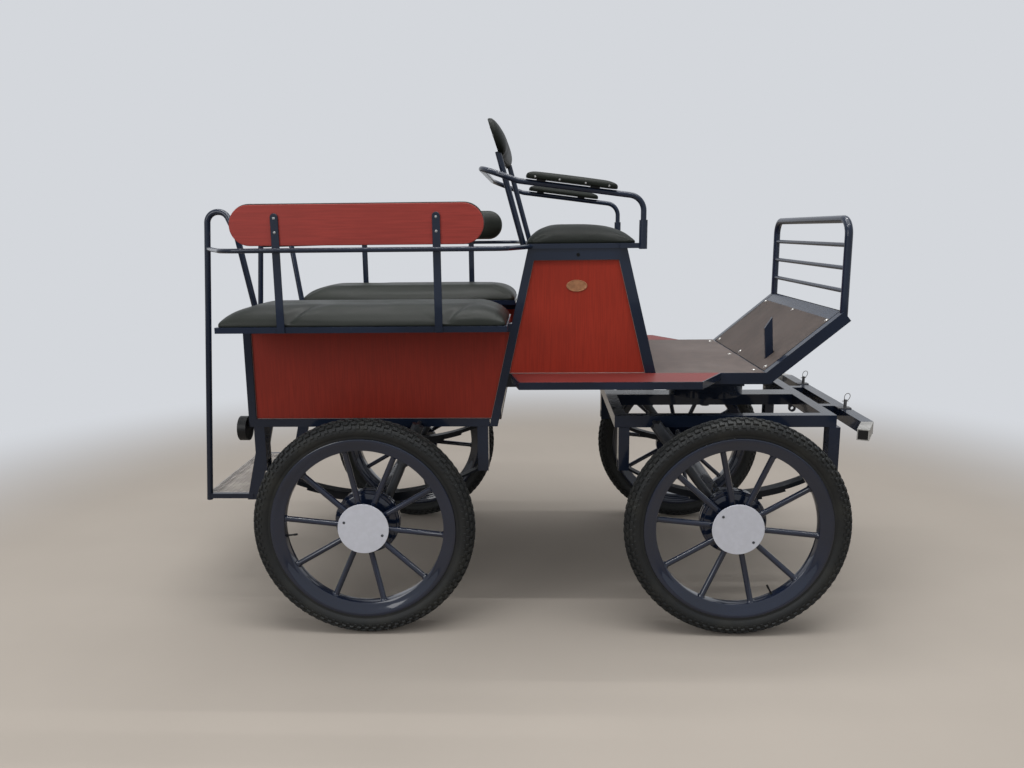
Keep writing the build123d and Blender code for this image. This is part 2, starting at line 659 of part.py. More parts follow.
with BuildPart() as box_end_panels:
    for rear_edge, front_edge, low in (
        (slant_station, lambda h: slant_station(h) + PANEL_THICKNESS, FLOOR_TOP),
        (lambda h: box_front_station(h) - PANEL_THICKNESS, box_front_station, FLOOR_TOP),
    ):
        high = BOX_TOP - BOX_TOP_BAR
        corners = ((rear_edge(low), low), (rear_edge(high), high), (front_edge(high), high),
                   (front_edge(low), low))
        side_plate(corners, SIDE_INNER, 2 * SIDE_INNER, 1)
    add(floor_frame.part, mode=Mode.SUBTRACT)
box_end_panels.part.label = "box_end_panels"
export_step(box_end_panels.part, "parts/box_end_panels.step")

with BuildPart() as badge_plates:
    for name, side in SIDES:
        face = side * (SIDE_HALF_WIDTH - PANEL_INSET)
        with BuildSketch(Plane(origin=(at(BADGE_STATION), face, BADGE_HEIGHT), x_dir=(1, 0, 0),
                               z_dir=(0, side, 0))) as oval:
            Ellipse(BADGE_LENGTH / 2, BADGE_WIDTH / 2)
        extrude(oval.sketch, amount=BADGE_THICKNESS)
badge_plates.part.label = "badge_plates"
export_step(badge_plates.part, "parts/badge_plates.step")

# Driver's seat
with BuildPart() as seat_base:
    block((SEAT_REAR, SEAT_FRONT), (-PLATFORM_HALF_WIDTH, PLATFORM_HALF_WIDTH), (BOX_TOP, BOX_TOP + SEAT_BASE))
seat_base.part.label = "seat_base"
export_step(seat_base.part, "parts/seat_base.step")

with BuildPart() as arm_sockets:
    for name, side in SIDES:
        rod((SOCKET_STATION, side * BOW_HALF_WIDTH, SOCKET_BOTTOM),
            (SOCKET_STATION, side * BOW_HALF_WIDTH, SOCKET_TOP), SOCKET_RADIUS)
        block((SOCKET_STATION - SOCKET_BRACKET, SOCKET_STATION), (side * PLATFORM_HALF_WIDTH, side * BOW_HALF_WIDTH),
              (BOX_TOP, BOX_TOP + SEAT_BASE))
arm_sockets.part.label = "arm_sockets"
export_step(arm_sockets.part, "parts/arm_sockets.step")

with BuildPart() as armrest_bow:
    half_route = (
        (SOCKET_STATION, BOW_HALF_WIDTH, SOCKET_TOP),
        (SOCKET_STATION, BOW_HALF_WIDTH, BOW_FRONT_HEIGHT),
        (BOW_KINK_STATION, BOW_HALF_WIDTH, BOW_KINK_HEIGHT),
        (BOW_REAR_STATION, BOW_HALF_WIDTH, BOW_REAR_HEIGHT),
    )
    other_half = [(x, -y, z) for x, y, z in reversed(half_route)]
    bends = (BOW_BEND, BOW_BEND, BOW_CORNER, BOW_CORNER, BOW_BEND, BOW_BEND)
    bent_tube((*half_route, *other_half), BOW_RADIUS, bends)
    for name, side in SIDES:
        foot = BACK_POST_FOOT + side * BACK_POST_SKEW
        rod((foot, side * BACK_POST_HALF_WIDTH, BOX_TOP),
            (foot - BACK_POST_LEAN, side * BACK_POST_HALF_WIDTH, BACK_POST_HEIGHT),
            BACK_POST_RADIUS)
    add(seat_base.part, mode=Mode.SUBTRACT)
    add(box_frame.part, mode=Mode.SUBTRACT)
armrest_bow.part.label = "armrest_bow"
export_step(armrest_bow.part, "parts/armrest_bow.step")

with BuildPart() as driver_cushion:
    cushion_base = BOX_TOP + SEAT_BASE
    block((SEAT_REAR + PAD_TRIM, SEAT_FRONT - PAD_TRIM), (-SIDE_HALF_WIDTH, SIDE_HALF_WIDTH),
          (cushion_base, cushion_base + SEAT_CUSHION))
    fillet(driver_cushion.part.edges().group_by(Axis.Z)[-1], CUSHION_ROUND)
    add(armrest_bow.part, mode=Mode.SUBTRACT)
driver_cushion.part.label = "driver_cushion"
export_step(driver_cushion.part, "parts/driver_cushion.step")

with BuildPart() as arm_pads:
    for name, side in SIDES:
        middle = side * BOW_HALF_WIDTH
        pad_rise = ARM_BLOCK_HEIGHT + ARM_PAD_THICKNESS / 2
        start = (ARM_PAD_REAR, middle, bow_top(ARM_PAD_REAR) + pad_rise)
        end = (ARM_PAD_FRONT, middle, bow_top(ARM_PAD_FRONT) + pad_rise)
        bar(start, end, ARM_PAD_WIDTH, ARM_PAD_THICKNESS)
        for station in (ARM_BLOCK_REAR, ARM_BLOCK_FRONT):
            low = (station, middle, bow_top(station) - BOW_RADIUS)
            high = (station, middle, bow_top(station) + pad_rise)
            bar(low, high, ARM_BLOCK, ARM_BLOCK)
    add(armrest_bow.part, mode=Mode.SUBTRACT)
arm_pads.part.label = "arm_pads"
export_step(arm_pads.part, "parts/arm_pads.step")

with BuildPart() as back_pad:
    pad_plane = Plane(
        origin=(at(BACK_PAD_CENTRE_STATION), 0, BACK_PAD_CENTRE_HEIGHT),
        x_dir=(0, 1, 0),
        z_dir=(cos(radians(BACK_PAD_TILT)), 0, sin(radians(BACK_PAD_TILT))),
    )
    with BuildSketch(pad_plane) as pad_face:
        RectangleRounded(2 * BACK_PAD_HALF_WIDTH, BACK_PAD_HEIGHT, BACK_PAD_HEIGHT / 2 - PAD_TRIM)
    extrude(amount=BACK_PAD_THICKNESS / 2, both=True)
    add(armrest_bow.part, mode=Mode.SUBTRACT)
back_pad.part.label = "back_pad"
export_step(back_pad.part, "parts/back_pad.step")

# Rear body: side frames, panels, well floor and front wall
with BuildPart() as rear_frame:
    for name, side in SIDES:
        widths = (side * SIDE_INNER, side * SIDE_HALF_WIDTH)
        block((REAR_FACE, REAR_FACE + REAR_POST), widths, (FRAME_BOTTOM, FRAME_TOP))
        block((REAR_FACE, slant_station(FRAME_BOTTOM)), widths, (FRAME_BOTTOM, FRAME_BOTTOM + FRAME_BAR))
        block((REAR_FACE, slant_station(FRAME_TOP)), widths, (FRAME_TOP - FRAME_BAR, FRAME_TOP))
        for along in (-1, 1):
            spring_hanger(along * REAR_SPRING_REACH, side, FRAME_BOTTOM)
    floor_bars = (FRAME_BOTTOM, FRAME_BOTTOM + FRAME_BAR - WELL_FLOOR)
    for station in (REAR_FACE, 0, slant_station(FRAME_BOTTOM) - FRAME_BAR):
        block((station, station + FRAME_BAR), (-SIDE_INNER, SIDE_INNER), floor_bars)
    add(box_frame.part, mode=Mode.SUBTRACT)
rear_frame.part.label = "rear_frame"
export_step(rear_frame.part, "parts/rear_frame.step")

with BuildPart() as rear_side_panels:
    low = FRAME_BOTTOM + FRAME_BAR
    high = FRAME_TOP - FRAME_BAR
    for name, side in SIDES:
        corners = ((REAR_FACE + REAR_POST, low), (REAR_FACE + REAR_POST, high),
                   (slant_station(high), high), (slant_station(low), low))
        side_plate(corners, SIDE_HALF_WIDTH - PANEL_INSET, PANEL_THICKNESS, side)
rear_side_panels.part.label = "rear_side_panels"
export_step(rear_side_panels.part, "parts/rear_side_panels.step")

with BuildPart() as well_floor:
    floor_base = FRAME_BOTTOM + FRAME_BAR - WELL_FLOOR
    block((REAR_FACE, WELL_WALL_STATION + WELL_WALL), (-SIDE_INNER, SIDE_INNER),
          (floor_base, floor_base + WELL_FLOOR))
well_floor.part.label = "well_floor"
export_step(well_floor.part, "parts/well_floor.step")

with BuildPart() as well_front_wall:
    block((WELL_WALL_STATION, WELL_WALL_STATION + WELL_WALL), (-SIDE_INNER, SIDE_INNER),
          (FRAME_BOTTOM + FRAME_BAR, FLOOR_TOP))
    add(box_end_panels.part, mode=Mode.SUBTRACT)
well_front_wall.part.label = "well_front_wall"
export_step(well_front_wall.part, "parts/well_front_wall.step")

# Benches, their cushions and backrests
bench_top = FRAME_TOP + BENCH_BASE
with BuildPart() as bench_frames:
    for name, side in SIDES:
        edges = (FRAME_TOP, bench_top)
        for inner in (BENCH_INNER, BENCH_OUTER - BENCH_BAR):
            block((BENCH_REAR, BENCH_FRONT), (side * inner, side * (inner + BENCH_BAR)), edges)
        for share in (0, 1 / 3, 2 / 3, 1):
            station = BENCH_REAR + share * (BENCH_FRONT - BENCH_REAR - BENCH_BAR)
            block((station, station + BENCH_BAR), (side * BENCH_INNER, side * BENCH_OUTER), edges)
bench_frames.part.label = "bench_frames"
export_step(bench_frames.part, "parts/bench_frames.step")

for name, side in SIDES:
    with BuildPart() as bench_cushion:
        block((BENCH_REAR + CUSHION_INSET, BENCH_FRONT - CUSHION_INSET),
              (side * (BENCH_INNER + HANDLE_RADIUS + 2 * CUSHION_INSET), side * (BENCH_OUTER - 2 * CUSHION_INSET)),
              (bench_top, bench_top + BENCH_CUSHION))
        fillet(bench_cushion.part.edges().group_by(Axis.Z)[-1], CUSHION_ROUND)
    bench_cushion.part.label = f"bench_cushion_{name}"
    export_step(bench_cushion.part, f"parts/bench_cushion_{name}.step")

backrest_height = BACKREST_TOP - BACKREST_BOTTOM


def backrest_layer(inner, outer, side, trim):
    """Add one stadium-shaped layer of a backrest between two places across."""
    centre = (at((BACKREST_REAR + BACKREST_FRONT) / 2), side * inner, (BACKREST_BOTTOM + BACKREST_TOP) / 2)
    with BuildSketch(Plane(origin=centre, x_dir=(1, 0, 0), z_dir=(0, side, 0))) as layer:
        SlotOverall(BACKREST_FRONT - BACKREST_REAR - 2 * trim, backrest_height - 2 * trim)
    extrude(layer.sketch, amount=outer - inner)


board_outer = BENCH_OUTER
board_inner = board_outer - BACKREST_BOARD
with BuildPart() as backrest_boards:
    for name, side in SIDES:
        backrest_layer(board_inner, board_outer, side, 0)
backrest_boards.part.label = "backrest_boards"
export_step(backrest_boards.part, "parts/backrest_boards.step")

with BuildPart() as backrest_pads:
    for name, side in SIDES:
        backrest_layer(board_inner - BACKREST_PAD, board_inner, side, PAD_TRIM)
backrest_pads.part.label = "backrest_pads"
export_step(backrest_pads.part, "parts/backrest_pads.step")

with BuildPart() as backrest_bars:
    for name, side in SIDES:
        for station in (BACKREST_BAR_REAR, BACKREST_BAR_FRONT):
            block((station - BACKREST_BAR_WIDTH / 2, station + BACKREST_BAR_WIDTH / 2),
                  (side * BENCH_OUTER, side * (BENCH_OUTER + BACKREST_BAR)),
                  (FRAME_TOP, BACKREST_TOP - BACKREST_BAR_DROP))
backrest_bars.part.label = "backrest_bars"
export_step(backrest_bars.part, "parts/backrest_bars.step")

# Entry handles, step, guard rails and lamps
with BuildPart() as entry_handles:
    for name, side in SIDES:
        across = side * HANDLE_HALF_WIDTH
        bent_tube(
            (
                (HANDLE_FOOT, across, STEP_BOTTOM - STEP_FOOT),
                (HANDLE_TOP_REAR, across, HANDLE_TOP),
                (HANDLE_TOP_FRONT, across, HANDLE_TOP),
                (HANDLE_KNEE, across + side * HANDLE_SPLAY, HANDLE_KNEE_HEIGHT),
                (HANDLE_FRONT_FOOT, across, FRAME_TOP),
            ),
            HANDLE_RADIUS, HANDLE_BEND,
        )
    add(bench_frames.part, mode=Mode.SUBTRACT)
entry_handles.part.label = "entry_handles"
export_step(entry_handles.part, "parts/entry_handles.step")

with BuildPart() as rear_step:
    for name, side in SIDES:
        across = side * HANDLE_HALF_WIDTH
        half_leg = STEP_LEG_WIDTH / 2
        block((HANDLE_FOOT, STEP_LEG_FOOT), (across - STEP_TUBE / 2, across + STEP_TUBE / 2),
              (STEP_BOTTOM, STEP_HEIGHT))
        side_plate(
            (
                (STEP_LEG_TOP - half_leg, FRAME_BOTTOM),
                (STEP_LEG_TOP + half_leg, FRAME_BOTTOM),
                (STEP_LEG_FOOT + half_leg, STEP_BOTTOM - STEP_FOOT),
                (STEP_LEG_FOOT - half_leg, STEP_BOTTOM - STEP_FOOT),
            ),
            HANDLE_HALF_WIDTH + STEP_LEG_THICKNESS / 2, STEP_LEG_THICKNESS, side,
        )
    for station in (HANDLE_FOOT, STEP_FRONT):
        block((station - STEP_TUBE / 2, station + STEP_TUBE / 2), (-HANDLE_HALF_WIDTH, HANDLE_HALF_WIDTH),
              (STEP_BOTTOM, STEP_HEIGHT - STEP_MESH))
    add(entry_handles.part, mode=Mode.SUBTRACT)
rear_step.part.label = "rear_step"
export_step(rear_step.part, "parts/rear_step.step")

with BuildPart() as step_mesh:
    mesh_half_width = HANDLE_HALF_WIDTH - HANDLE_RADIUS - STEP_MESH_CLEARANCE
    block((HANDLE_FOOT - STEP_TUBE / 2, STEP_FRONT + STEP_TUBE / 2), (-mesh_half_width, mesh_half_width),
          (STEP_HEIGHT - STEP_MESH, STEP_HEIGHT))
step_mesh.part.label = "step_mesh"
export_step(step_mesh.part, "parts/step_mesh.step")

# The rails run outside the backrest bars, from the seat's end round to the handles
with BuildPart() as guard_rails:
    for name, side in SIDES:
        across = side * (BENCH_OUTER + BACKREST_BAR + RAIL_RADIUS)
        bent_tube(
            (
                (RAIL_REAR, side * HANDLE_HALF_WIDTH, RAIL_HEIGHT),
                (RAIL_CORNER, across, RAIL_HEIGHT),
                (RAIL_FRONT, across, RAIL_HEIGHT),
                (RAIL_END, side * (PLATFORM_HALF_WIDTH - RAIL_RADIUS), RAIL_HEIGHT),
            ),
            RAIL_RADIUS, (RAIL_REAR_BEND, RAIL_FRONT_BEND),
        )
    add(entry_handles.part, mode=Mode.SUBTRACT)
    add(seat_base.part, mode=Mode.SUBTRACT)
    add(box_frame.part, mode=Mode.SUBTRACT)
guard_rails.part.label = "guard_rails"
export_step(guard_rails.part, "parts/guard_rails.step")

with BuildPart() as rear_lamps:
    lamp_across = SIDE_HALF_WIDTH - SIDE_TUBE / 2
    for name, side in SIDES:
        middle = side * lamp_across
        rod((REAR_FACE - LAMP_NECK - LAMP_LENGTH, middle, LAMP_HEIGHT),
            (REAR_FACE - LAMP_NECK, middle, LAMP_HEIGHT), LAMP_RADIUS)
        block((REAR_FACE - LAMP_NECK, REAR_FACE),
              (middle - LAMP_NECK_WIDTH / 2, middle + LAMP_NECK_WIDTH / 2),
              (FRAME_BOTTOM, FRAME_BOTTOM + FRAME_BAR))
rear_lamps.part.label = "rear_lamps"
export_step(rear_lamps.part, "parts/rear_lamps.step")

# Running gear under the rear body
with BuildPart() as rear_axle:
    axle(0, REAR_DAMPER_LEAN)
rear_axle.part.label = "rear_axle"
export_step(rear_axle.part, "parts/rear_axle.step")

with BuildPart() as rear_springs:
    for name, side in SIDES:
        spring_pack(0, REAR_SPRING_REACH, side)
    add(rear_axle.part, mode=Mode.SUBTRACT)
rear_springs.part.label = "rear_springs"
export_step(rear_springs.part, "parts/rear_springs.step")

with BuildPart() as rear_dampers:
    for name, side in SIDES:
        damper(0, REAR_DAMPER_LEAN, FRAME_BOTTOM + FRAME_BAR / 2, side)
    add(rear_axle.part, mode=Mode.SUBTRACT)
rear_dampers.part.label = "rear_dampers"
export_step(rear_dampers.part, "parts/rear_dampers.step")

# Turntable: the upper ring and kingpin stay with the body
lower_ring_top = UNDER_TOP + RING_THICKNESS
upper_ring_base = lower_ring_top + RING_GAP
with BuildPart() as turntable_upper:
    with BuildSketch(Plane(origin=(at(WHEELBASE), 0, upper_ring_base))) as ring:
        Circle(RING_RADIUS)
        Circle(RING_INNER_RADIUS, mode=Mode.SUBTRACT)
    extrude(amount=RING_THICKNESS)
    with BuildSketch(Plane(origin=(at(WHEELBASE), 0, upper_ring_base + RING_THICKNESS))) as plate:
        Circle(RING_RADIUS)
    extrude(amount=RING_PLATE)
    rod((WHEELBASE, 0, UNDER_TOP - UNDER_TUBE - KINGPIN_DROP), (WHEELBASE, 0, upper_ring_base + RING_THICKNESS),
        KINGPIN_RADIUS)
    beam = (upper_ring_base + RING_THICKNESS + RING_PLATE, FLOOR_BOTTOM)
    for side in (-1, 1):
        middle = side * CHASSIS_HALF_WIDTH
        widths = (middle - CHASSIS_BEAM_WIDTH / 2, middle + CHASSIS_BEAM_WIDTH / 2)
        block((WELL_WALL_STATION + WELL_WALL, FLOOR_BEND), widths, beam)
turntable_upper.part.label = "turntable_upper"
export_step(turntable_upper.part, "parts/turntable_upper.step")

# Undercarriage: everything that steers with the front axle
under_side_top = UNDER_TOP
under_side_base = UNDER_TOP - UNDER_TUBE
with BuildPart() as undercarriage_frame:
    heights = (under_side_base, under_side_top)
    rail_outer = SPRING_HALF_TRACK + UNDER_TUBE / 2
    for name, side in SIDES:
        middle = side * SPRING_HALF_TRACK
        block((WHEELBASE + UNDER_REAR, WHEELBASE + UNDER_FRONT),
              (middle - UNDER_TUBE / 2, middle + UNDER_TUBE / 2), heights)
        for along in (-1, 1):
            spring_hanger(WHEELBASE + along * FRONT_SPRING_REACH, side, under_side_base)
        block((WHEELBASE + UNDER_FRONT, WHEELBASE + BAR_REAR),
              (side * ARM_HALF_WIDTH - ARM_TUBE / 2, side * ARM_HALF_WIDTH + ARM_TUBE / 2),
              (BAR_TOP - ARM_TUBE, BAR_TOP))
    for station in (WHEELBASE + UNDER_REAR, WHEELBASE + UNDER_FRONT - UNDER_TUBE):
        block((station, station + UNDER_TUBE), (-rail_outer, rail_outer), heights)
    block((WHEELBASE + UNDER_REAR, WHEELBASE + UNDER_FRONT),
          (-UNDER_BEAM_WIDTH / 2, UNDER_BEAM_WIDTH / 2), heights)
    with Locations((at(WHEELBASE), 0, UNDER_TOP - UNDER_TUBE / 2)):
        Cylinder(KINGPIN_RADIUS + RUNNING_CLEARANCE, 2 * UNDER_TUBE, mode=Mode.SUBTRACT)
    lug_plane = Plane(origin=(at(WHEELBASE + LUG_STATION), 0, under_side_base), x_dir=(1, 0, 0), z_dir=(0, -1, 0))
    with BuildSketch(lug_plane) as lug:
        with Locations((0, -LUG_DROP / 2)):
            Rectangle(LUG_WIDTH, LUG_DROP)
        with Locations((0, -LUG_DROP)):
            Circle(LUG_WIDTH / 2)
            Circle(LUG_EYE_RADIUS, mode=Mode.SUBTRACT)
    extrude(amount=LUG_THICKNESS / 2, both=True)
undercarriage_frame.part.label = "undercarriage_frame"
export_step(undercarriage_frame.part, "parts/undercarriage_frame.step")

with BuildPart() as turntable_lower:
    with BuildSketch(Plane(origin=(at(WHEELBASE), 0, UNDER_TOP))) as lower_ring:
        Circle(RING_RADIUS)
        Circle(RING_INNER_RADIUS, mode=Mode.SUBTRACT)
    extrude(amount=RING_THICKNESS)
turntable_lower.part.label = "turntable_lower"
export_step(turntable_lower.part, "parts/turntable_lower.step")

bar_stations = (WHEELBASE + BAR_REAR, WHEELBASE + BAR_REAR + BAR_DEPTH)
bar_heights = (BAR_TOP - BAR_DEPTH, BAR_TOP)
pin_station = WHEELBASE + TRACE_PIN_STATION
with BuildPart() as splinter_bar:
    block(bar_stations, (-BAR_HALF_LENGTH, BAR_HALF_LENGTH), bar_heights)
    for name, side in SIDES:
        with Locations((at(pin_station), side * TRACE_PIN_HALF_WIDTH, BAR_TOP)):
            Cylinder(TRACE_PIN_RADIUS, 4 * BAR_DEPTH, mode=Mode.SUBTRACT)
splinter_bar.part.label = "splinter_bar"
export_step(splinter_bar.part, "parts/splinter_bar.step")

with BuildPart() as bar_end_caps:
    sweep = radians(BAR_END_SWEEP)
    for name, side in SIDES:
        end_root = (
            at(bar_stations[1] - BAR_END_SIZE / 2 * cos(sweep)),
            side * (BAR_HALF_LENGTH - BAR_END_SIZE / 2 * sin(sweep)),
            BAR_TOP,
        )
        with BuildSketch(Plane(origin=end_root, x_dir=(-sin(sweep), side * cos(sweep), 0))) as swept_end:
            with Locations((BAR_END_LENGTH / 2, 0)):
                Rectangle(BAR_END_LENGTH, BAR_END_SIZE)
        extrude(amount=-BAR_END_SIZE)
    add(splinter_bar.part, mode=Mode.SUBTRACT)
bar_end_caps.part.label = "bar_end_caps"
export_step(bar_end_caps.part, "parts/bar_end_caps.step")

with BuildPart() as trace_pins:
    for name, side in SIDES:
        across = side * TRACE_PIN_HALF_WIDTH
        rod((pin_station, across, BAR_TOP - BAR_DEPTH), (pin_station, across, BAR_TOP + TRACE_PIN_STAND),
            TRACE_PIN_RADIUS)
        block((bar_stations[1] - TRACE_TAB_LENGTH, bar_stations[1]),
              (across - TRACE_TAB_WIDTH / 2, across + TRACE_TAB_WIDTH / 2), (BAR_TOP, BAR_TOP + TRACE_TAB))
trace_pins.part.label = "trace_pins"
export_step(trace_pins.part, "parts/trace_pins.step")

with BuildPart() as front_axle:
    axle(WHEELBASE, FRONT_DAMPER_LEAN)
front_axle.part.label = "front_axle"
export_step(front_axle.part, "parts/front_axle.step")

with BuildPart() as front_springs:
    for name, side in SIDES:
        spring_pack(WHEELBASE, FRONT_SPRING_REACH, side)
    add(front_axle.part, mode=Mode.SUBTRACT)
front_springs.part.label = "front_springs"
export_step(front_springs.part, "parts/front_springs.step")

with BuildPart() as front_dampers:
    for name, side in SIDES:
        damper(WHEELBASE, FRONT_DAMPER_LEAN, UNDER_TOP - UNDER_TUBE / 2, side)
    add(front_axle.part, mode=Mode.SUBTRACT)
    add(undercarriage_frame.part, mode=Mode.SUBTRACT)
front_dampers.part.label = "front_dampers"
export_step(front_dampers.part, "parts/front_dampers.step")

# Wheels: name, station, side
WHEELS = (
    ("front_right", WHEELBASE, -1),
    ("front_left", WHEELBASE, 1),
    ("rear_right", 0, -1),
    ("rear_left", 0, 1),
)
for name, station, side in WHEELS:
    with BuildPart() as tyre:
        bead = RIM_SEAT_RADIUS + BEAD_CLEARANCE
        bead_half = RIM_HALF_WIDTH - RIM_LIP - BEAD_CLEARANCE
        flange = RIM_FLANGE_RADIUS + BEAD_CLEARANCE
        turned(
            (
                (-bead_half, bead),
                (bead_half, bead),
                (bead_half, flange),
                (TYRE_HALF_WIDTH, SIDEWALL_RADIUS),
                (TREAD_HALF_WIDTH, TYRE_RADIUS - SHOULDER_DROP),
                (TREAD_HALF_WIDTH / 2, TYRE_RADIUS),
                (-TREAD_HALF_WIDTH / 2, TYRE_RADIUS),
                (-TREAD_HALF_WIDTH, TYRE_RADIUS - SHOULDER_DROP),
                (-TYRE_HALF_WIDTH, SIDEWALL_RADIUS),
                (-bead_half, flange),
            ),
            station, side,
        )
    tyre.part.label = f"tyre_{name}"
    export_step(tyre.part, f"parts/tyre_{name}.step")

    with BuildPart() as wheel:
        turned(
            (
                (-RIM_BASE_HALF_WIDTH, RIM_INNER_RADIUS),
                (RIM_BASE_HALF_WIDTH, RIM_INNER_RADIUS),
                (RIM_HALF_WIDTH, RIM_SEAT_RADIUS),
                (RIM_HALF_WIDTH, RIM_FLANGE_RADIUS),
                (RIM_HALF_WIDTH - RIM_LIP, RIM_FLANGE_RADIUS),
                (RIM_HALF_WIDTH - RIM_LIP, RIM_SEAT_RADIUS),
                (-RIM_HALF_WIDTH + RIM_LIP, RIM_SEAT_RADIUS),
                (-RIM_HALF_WIDTH + RIM_LIP, RIM_FLANGE_RADIUS),
                (-RIM_HALF_WIDTH, RIM_FLANGE_RADIUS),
                (-RIM_HALF_WIDTH, RIM_SEAT_RADIUS),
            ),
            station, side,
        )
        turned(
            (
                (-DRUM_INBOARD, 0),
                (HUB_OUTBOARD, 0),
                (HUB_OUTBOARD, HUB_RADIUS),
                (-HUB_INBOARD, HUB_RADIUS),
                (-HUB_INBOARD, DRUM_RADIUS),
                (-DRUM_INBOARD, DRUM_RADIUS),
            ),
            station, side,
        )
        for spoke in range(SPOKE_COUNT):
            angle = radians(SPOKE_START_ANGLE + spoke * 360 / SPOKE_COUNT)
            hub_end = HUB_RADIUS - SPOKE_RADIUS
            rim_end = RIM_INNER_RADIUS + SPOKE_RADIUS
            rod(
                (station + hub_end * cos(angle), side * WHEEL_HALF_TRACK, AXLE_HEIGHT + hub_end * sin(angle)),
                (station + rim_end * cos(angle), side * WHEEL_HALF_TRACK, AXLE_HEIGHT + rim_end * sin(angle)),
                SPOKE_RADIUS,
            )
        bore_radius = SPINDLE_RADIUS + RUNNING_CLEARANCE
        with BuildSketch(Plane(origin=(at(station), side * WHEEL_HALF_TRACK, AXLE_HEIGHT), z_dir=(0, 1, 0))) as bore:
            Circle(bore_radius)
        extrude(amount=2 * DRUM_INBOARD, both=True, mode=Mode.SUBTRACT)
    wheel.part.label = f"wheel_{name}"
    export_step(wheel.part, f"parts/wheel_{name}.step")

    with BuildPart() as hub_cap:
        face = side * (WHEEL_HALF_TRACK + HUB_OUTBOARD)
        with BuildSketch(Plane(origin=(at(station), face, AXLE_HEIGHT), x_dir=(1, 0, 0), z_dir=(0, side, 0))) as disc:
            Circle(CAP_RADIUS)
        extrude(amount=CAP_THICKNESS)
    hub_cap.part.label = f"hub_cap_{name}"
    export_step(hub_cap.part, f"parts/hub_cap_{name}.step")
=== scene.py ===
"""Looks of a marathon carriage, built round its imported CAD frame.

Lengths are in metres in the part's own frame: X forward, Y to the carriage's left, Z up.
"""

import logging
import math
from dataclasses import dataclass, field
from enum import Enum
from functools import lru_cache
from itertools import product
from typing import ClassVar, Iterable, Sequence

import bmesh
import bpy
import numpy as np
from mathutils import Matrix, Vector


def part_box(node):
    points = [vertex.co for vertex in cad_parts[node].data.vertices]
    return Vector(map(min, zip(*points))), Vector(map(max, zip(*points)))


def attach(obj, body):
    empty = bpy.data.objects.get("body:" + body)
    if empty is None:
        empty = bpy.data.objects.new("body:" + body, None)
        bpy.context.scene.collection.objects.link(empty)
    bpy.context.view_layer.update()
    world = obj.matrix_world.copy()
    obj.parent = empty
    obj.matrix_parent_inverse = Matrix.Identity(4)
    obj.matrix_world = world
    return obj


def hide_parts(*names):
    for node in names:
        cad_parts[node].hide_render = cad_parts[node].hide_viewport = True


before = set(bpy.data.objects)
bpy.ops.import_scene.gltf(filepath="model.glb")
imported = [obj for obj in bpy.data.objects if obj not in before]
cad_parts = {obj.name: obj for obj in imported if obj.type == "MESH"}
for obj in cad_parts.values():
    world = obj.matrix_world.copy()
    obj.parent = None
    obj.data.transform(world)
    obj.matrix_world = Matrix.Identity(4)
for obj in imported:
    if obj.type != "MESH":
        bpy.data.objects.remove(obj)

LOG = logging.getLogger("carriage")
ROOT = "root"
SIDES = (("right", -1), ("left", 1))
UP = Vector((0, 0, 1))
SQUARE = ((-1, -1), (1, -1), (1, 1), (-1, 1))
BAR_STATIONS = (-0.235, 0.297)
REAR_AXLE_X = sum(corner.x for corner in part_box("tyre_rear_right")) / 2
FRONT_AXLE_X = sum(corner.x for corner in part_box("tyre_front_right")) / 2

Point = tuple[float, float]
Colour = tuple[float, float, float, float]
Piece = bpy.types.Object


def station(distance: float) -> float:
    """Turn a distance ahead of the rear axle into the part's own X."""
    return REAR_AXLE_X + distance


def tone(red: int, green: int, blue: int) -> Colour:
    """Turn a colour as a screen shows it, 0 to 255, into the linear values that shaders take."""
    channels = [c / 255 for c in (red, green, blue)]
    linear = [c / 12.92 if c <= 0.04045 else ((c + 0.055) / 1.055) ** 2.4 for c in channels]
    return (*linear, 1.0)


def shaded(colour: Colour, factor: float) -> Colour:
    """Make a colour darker or lighter by a factor."""
    return (*(c * factor for c in colour[:3]), 1.0)


def circle(count: int) -> list[float]:
    """List equal turns once round a circle, in radians."""
    return [2 * math.pi * i / count for i in range(count)]


class Value:
    """A number, colour or vector that varies over a surface, on which arithmetic adds Math nodes."""

    def __init__(self, recipe: "Recipe", socket: bpy.types.NodeSocket) -> None:
        """Keep the output socket and the recipe that it belongs to."""
        self.recipe = recipe
        self.socket = socket

    def _math(self, operation: str, *terms: "Value | float") -> "Value":
        """Add one Math node for the terms."""
        return self.recipe.node("ShaderNodeMath", {"operation": operation}, dict(enumerate(terms)))

    def __add__(self, other: "Value | float") -> "Value":
        """Sum."""
        return self._math("ADD", self, other)

    __radd__ = __add__

    def __sub__(self, other: "Value | float") -> "Value":
        """Difference."""
        return self._math("SUBTRACT", self, other)

    def __rsub__(self, other: "Value | float") -> "Value":
        """Difference from a plain number."""
        return self._math("SUBTRACT", other, self)

    def __mul__(self, other: "Value | float") -> "Value":
        """Product."""
        return self._math("MULTIPLY", self, other)

    __rmul__ = __mul__

    def ramp(self, low: float, high: float) -> "Value":
        """Rise smoothly from 0 at low to 1 at high."""
        return self.recipe.node(
            "ShaderNodeMapRange",
            {"interpolation_type": "SMOOTHSTEP"},
            {"Value": self, "From Min": low, "From Max": high},
        )


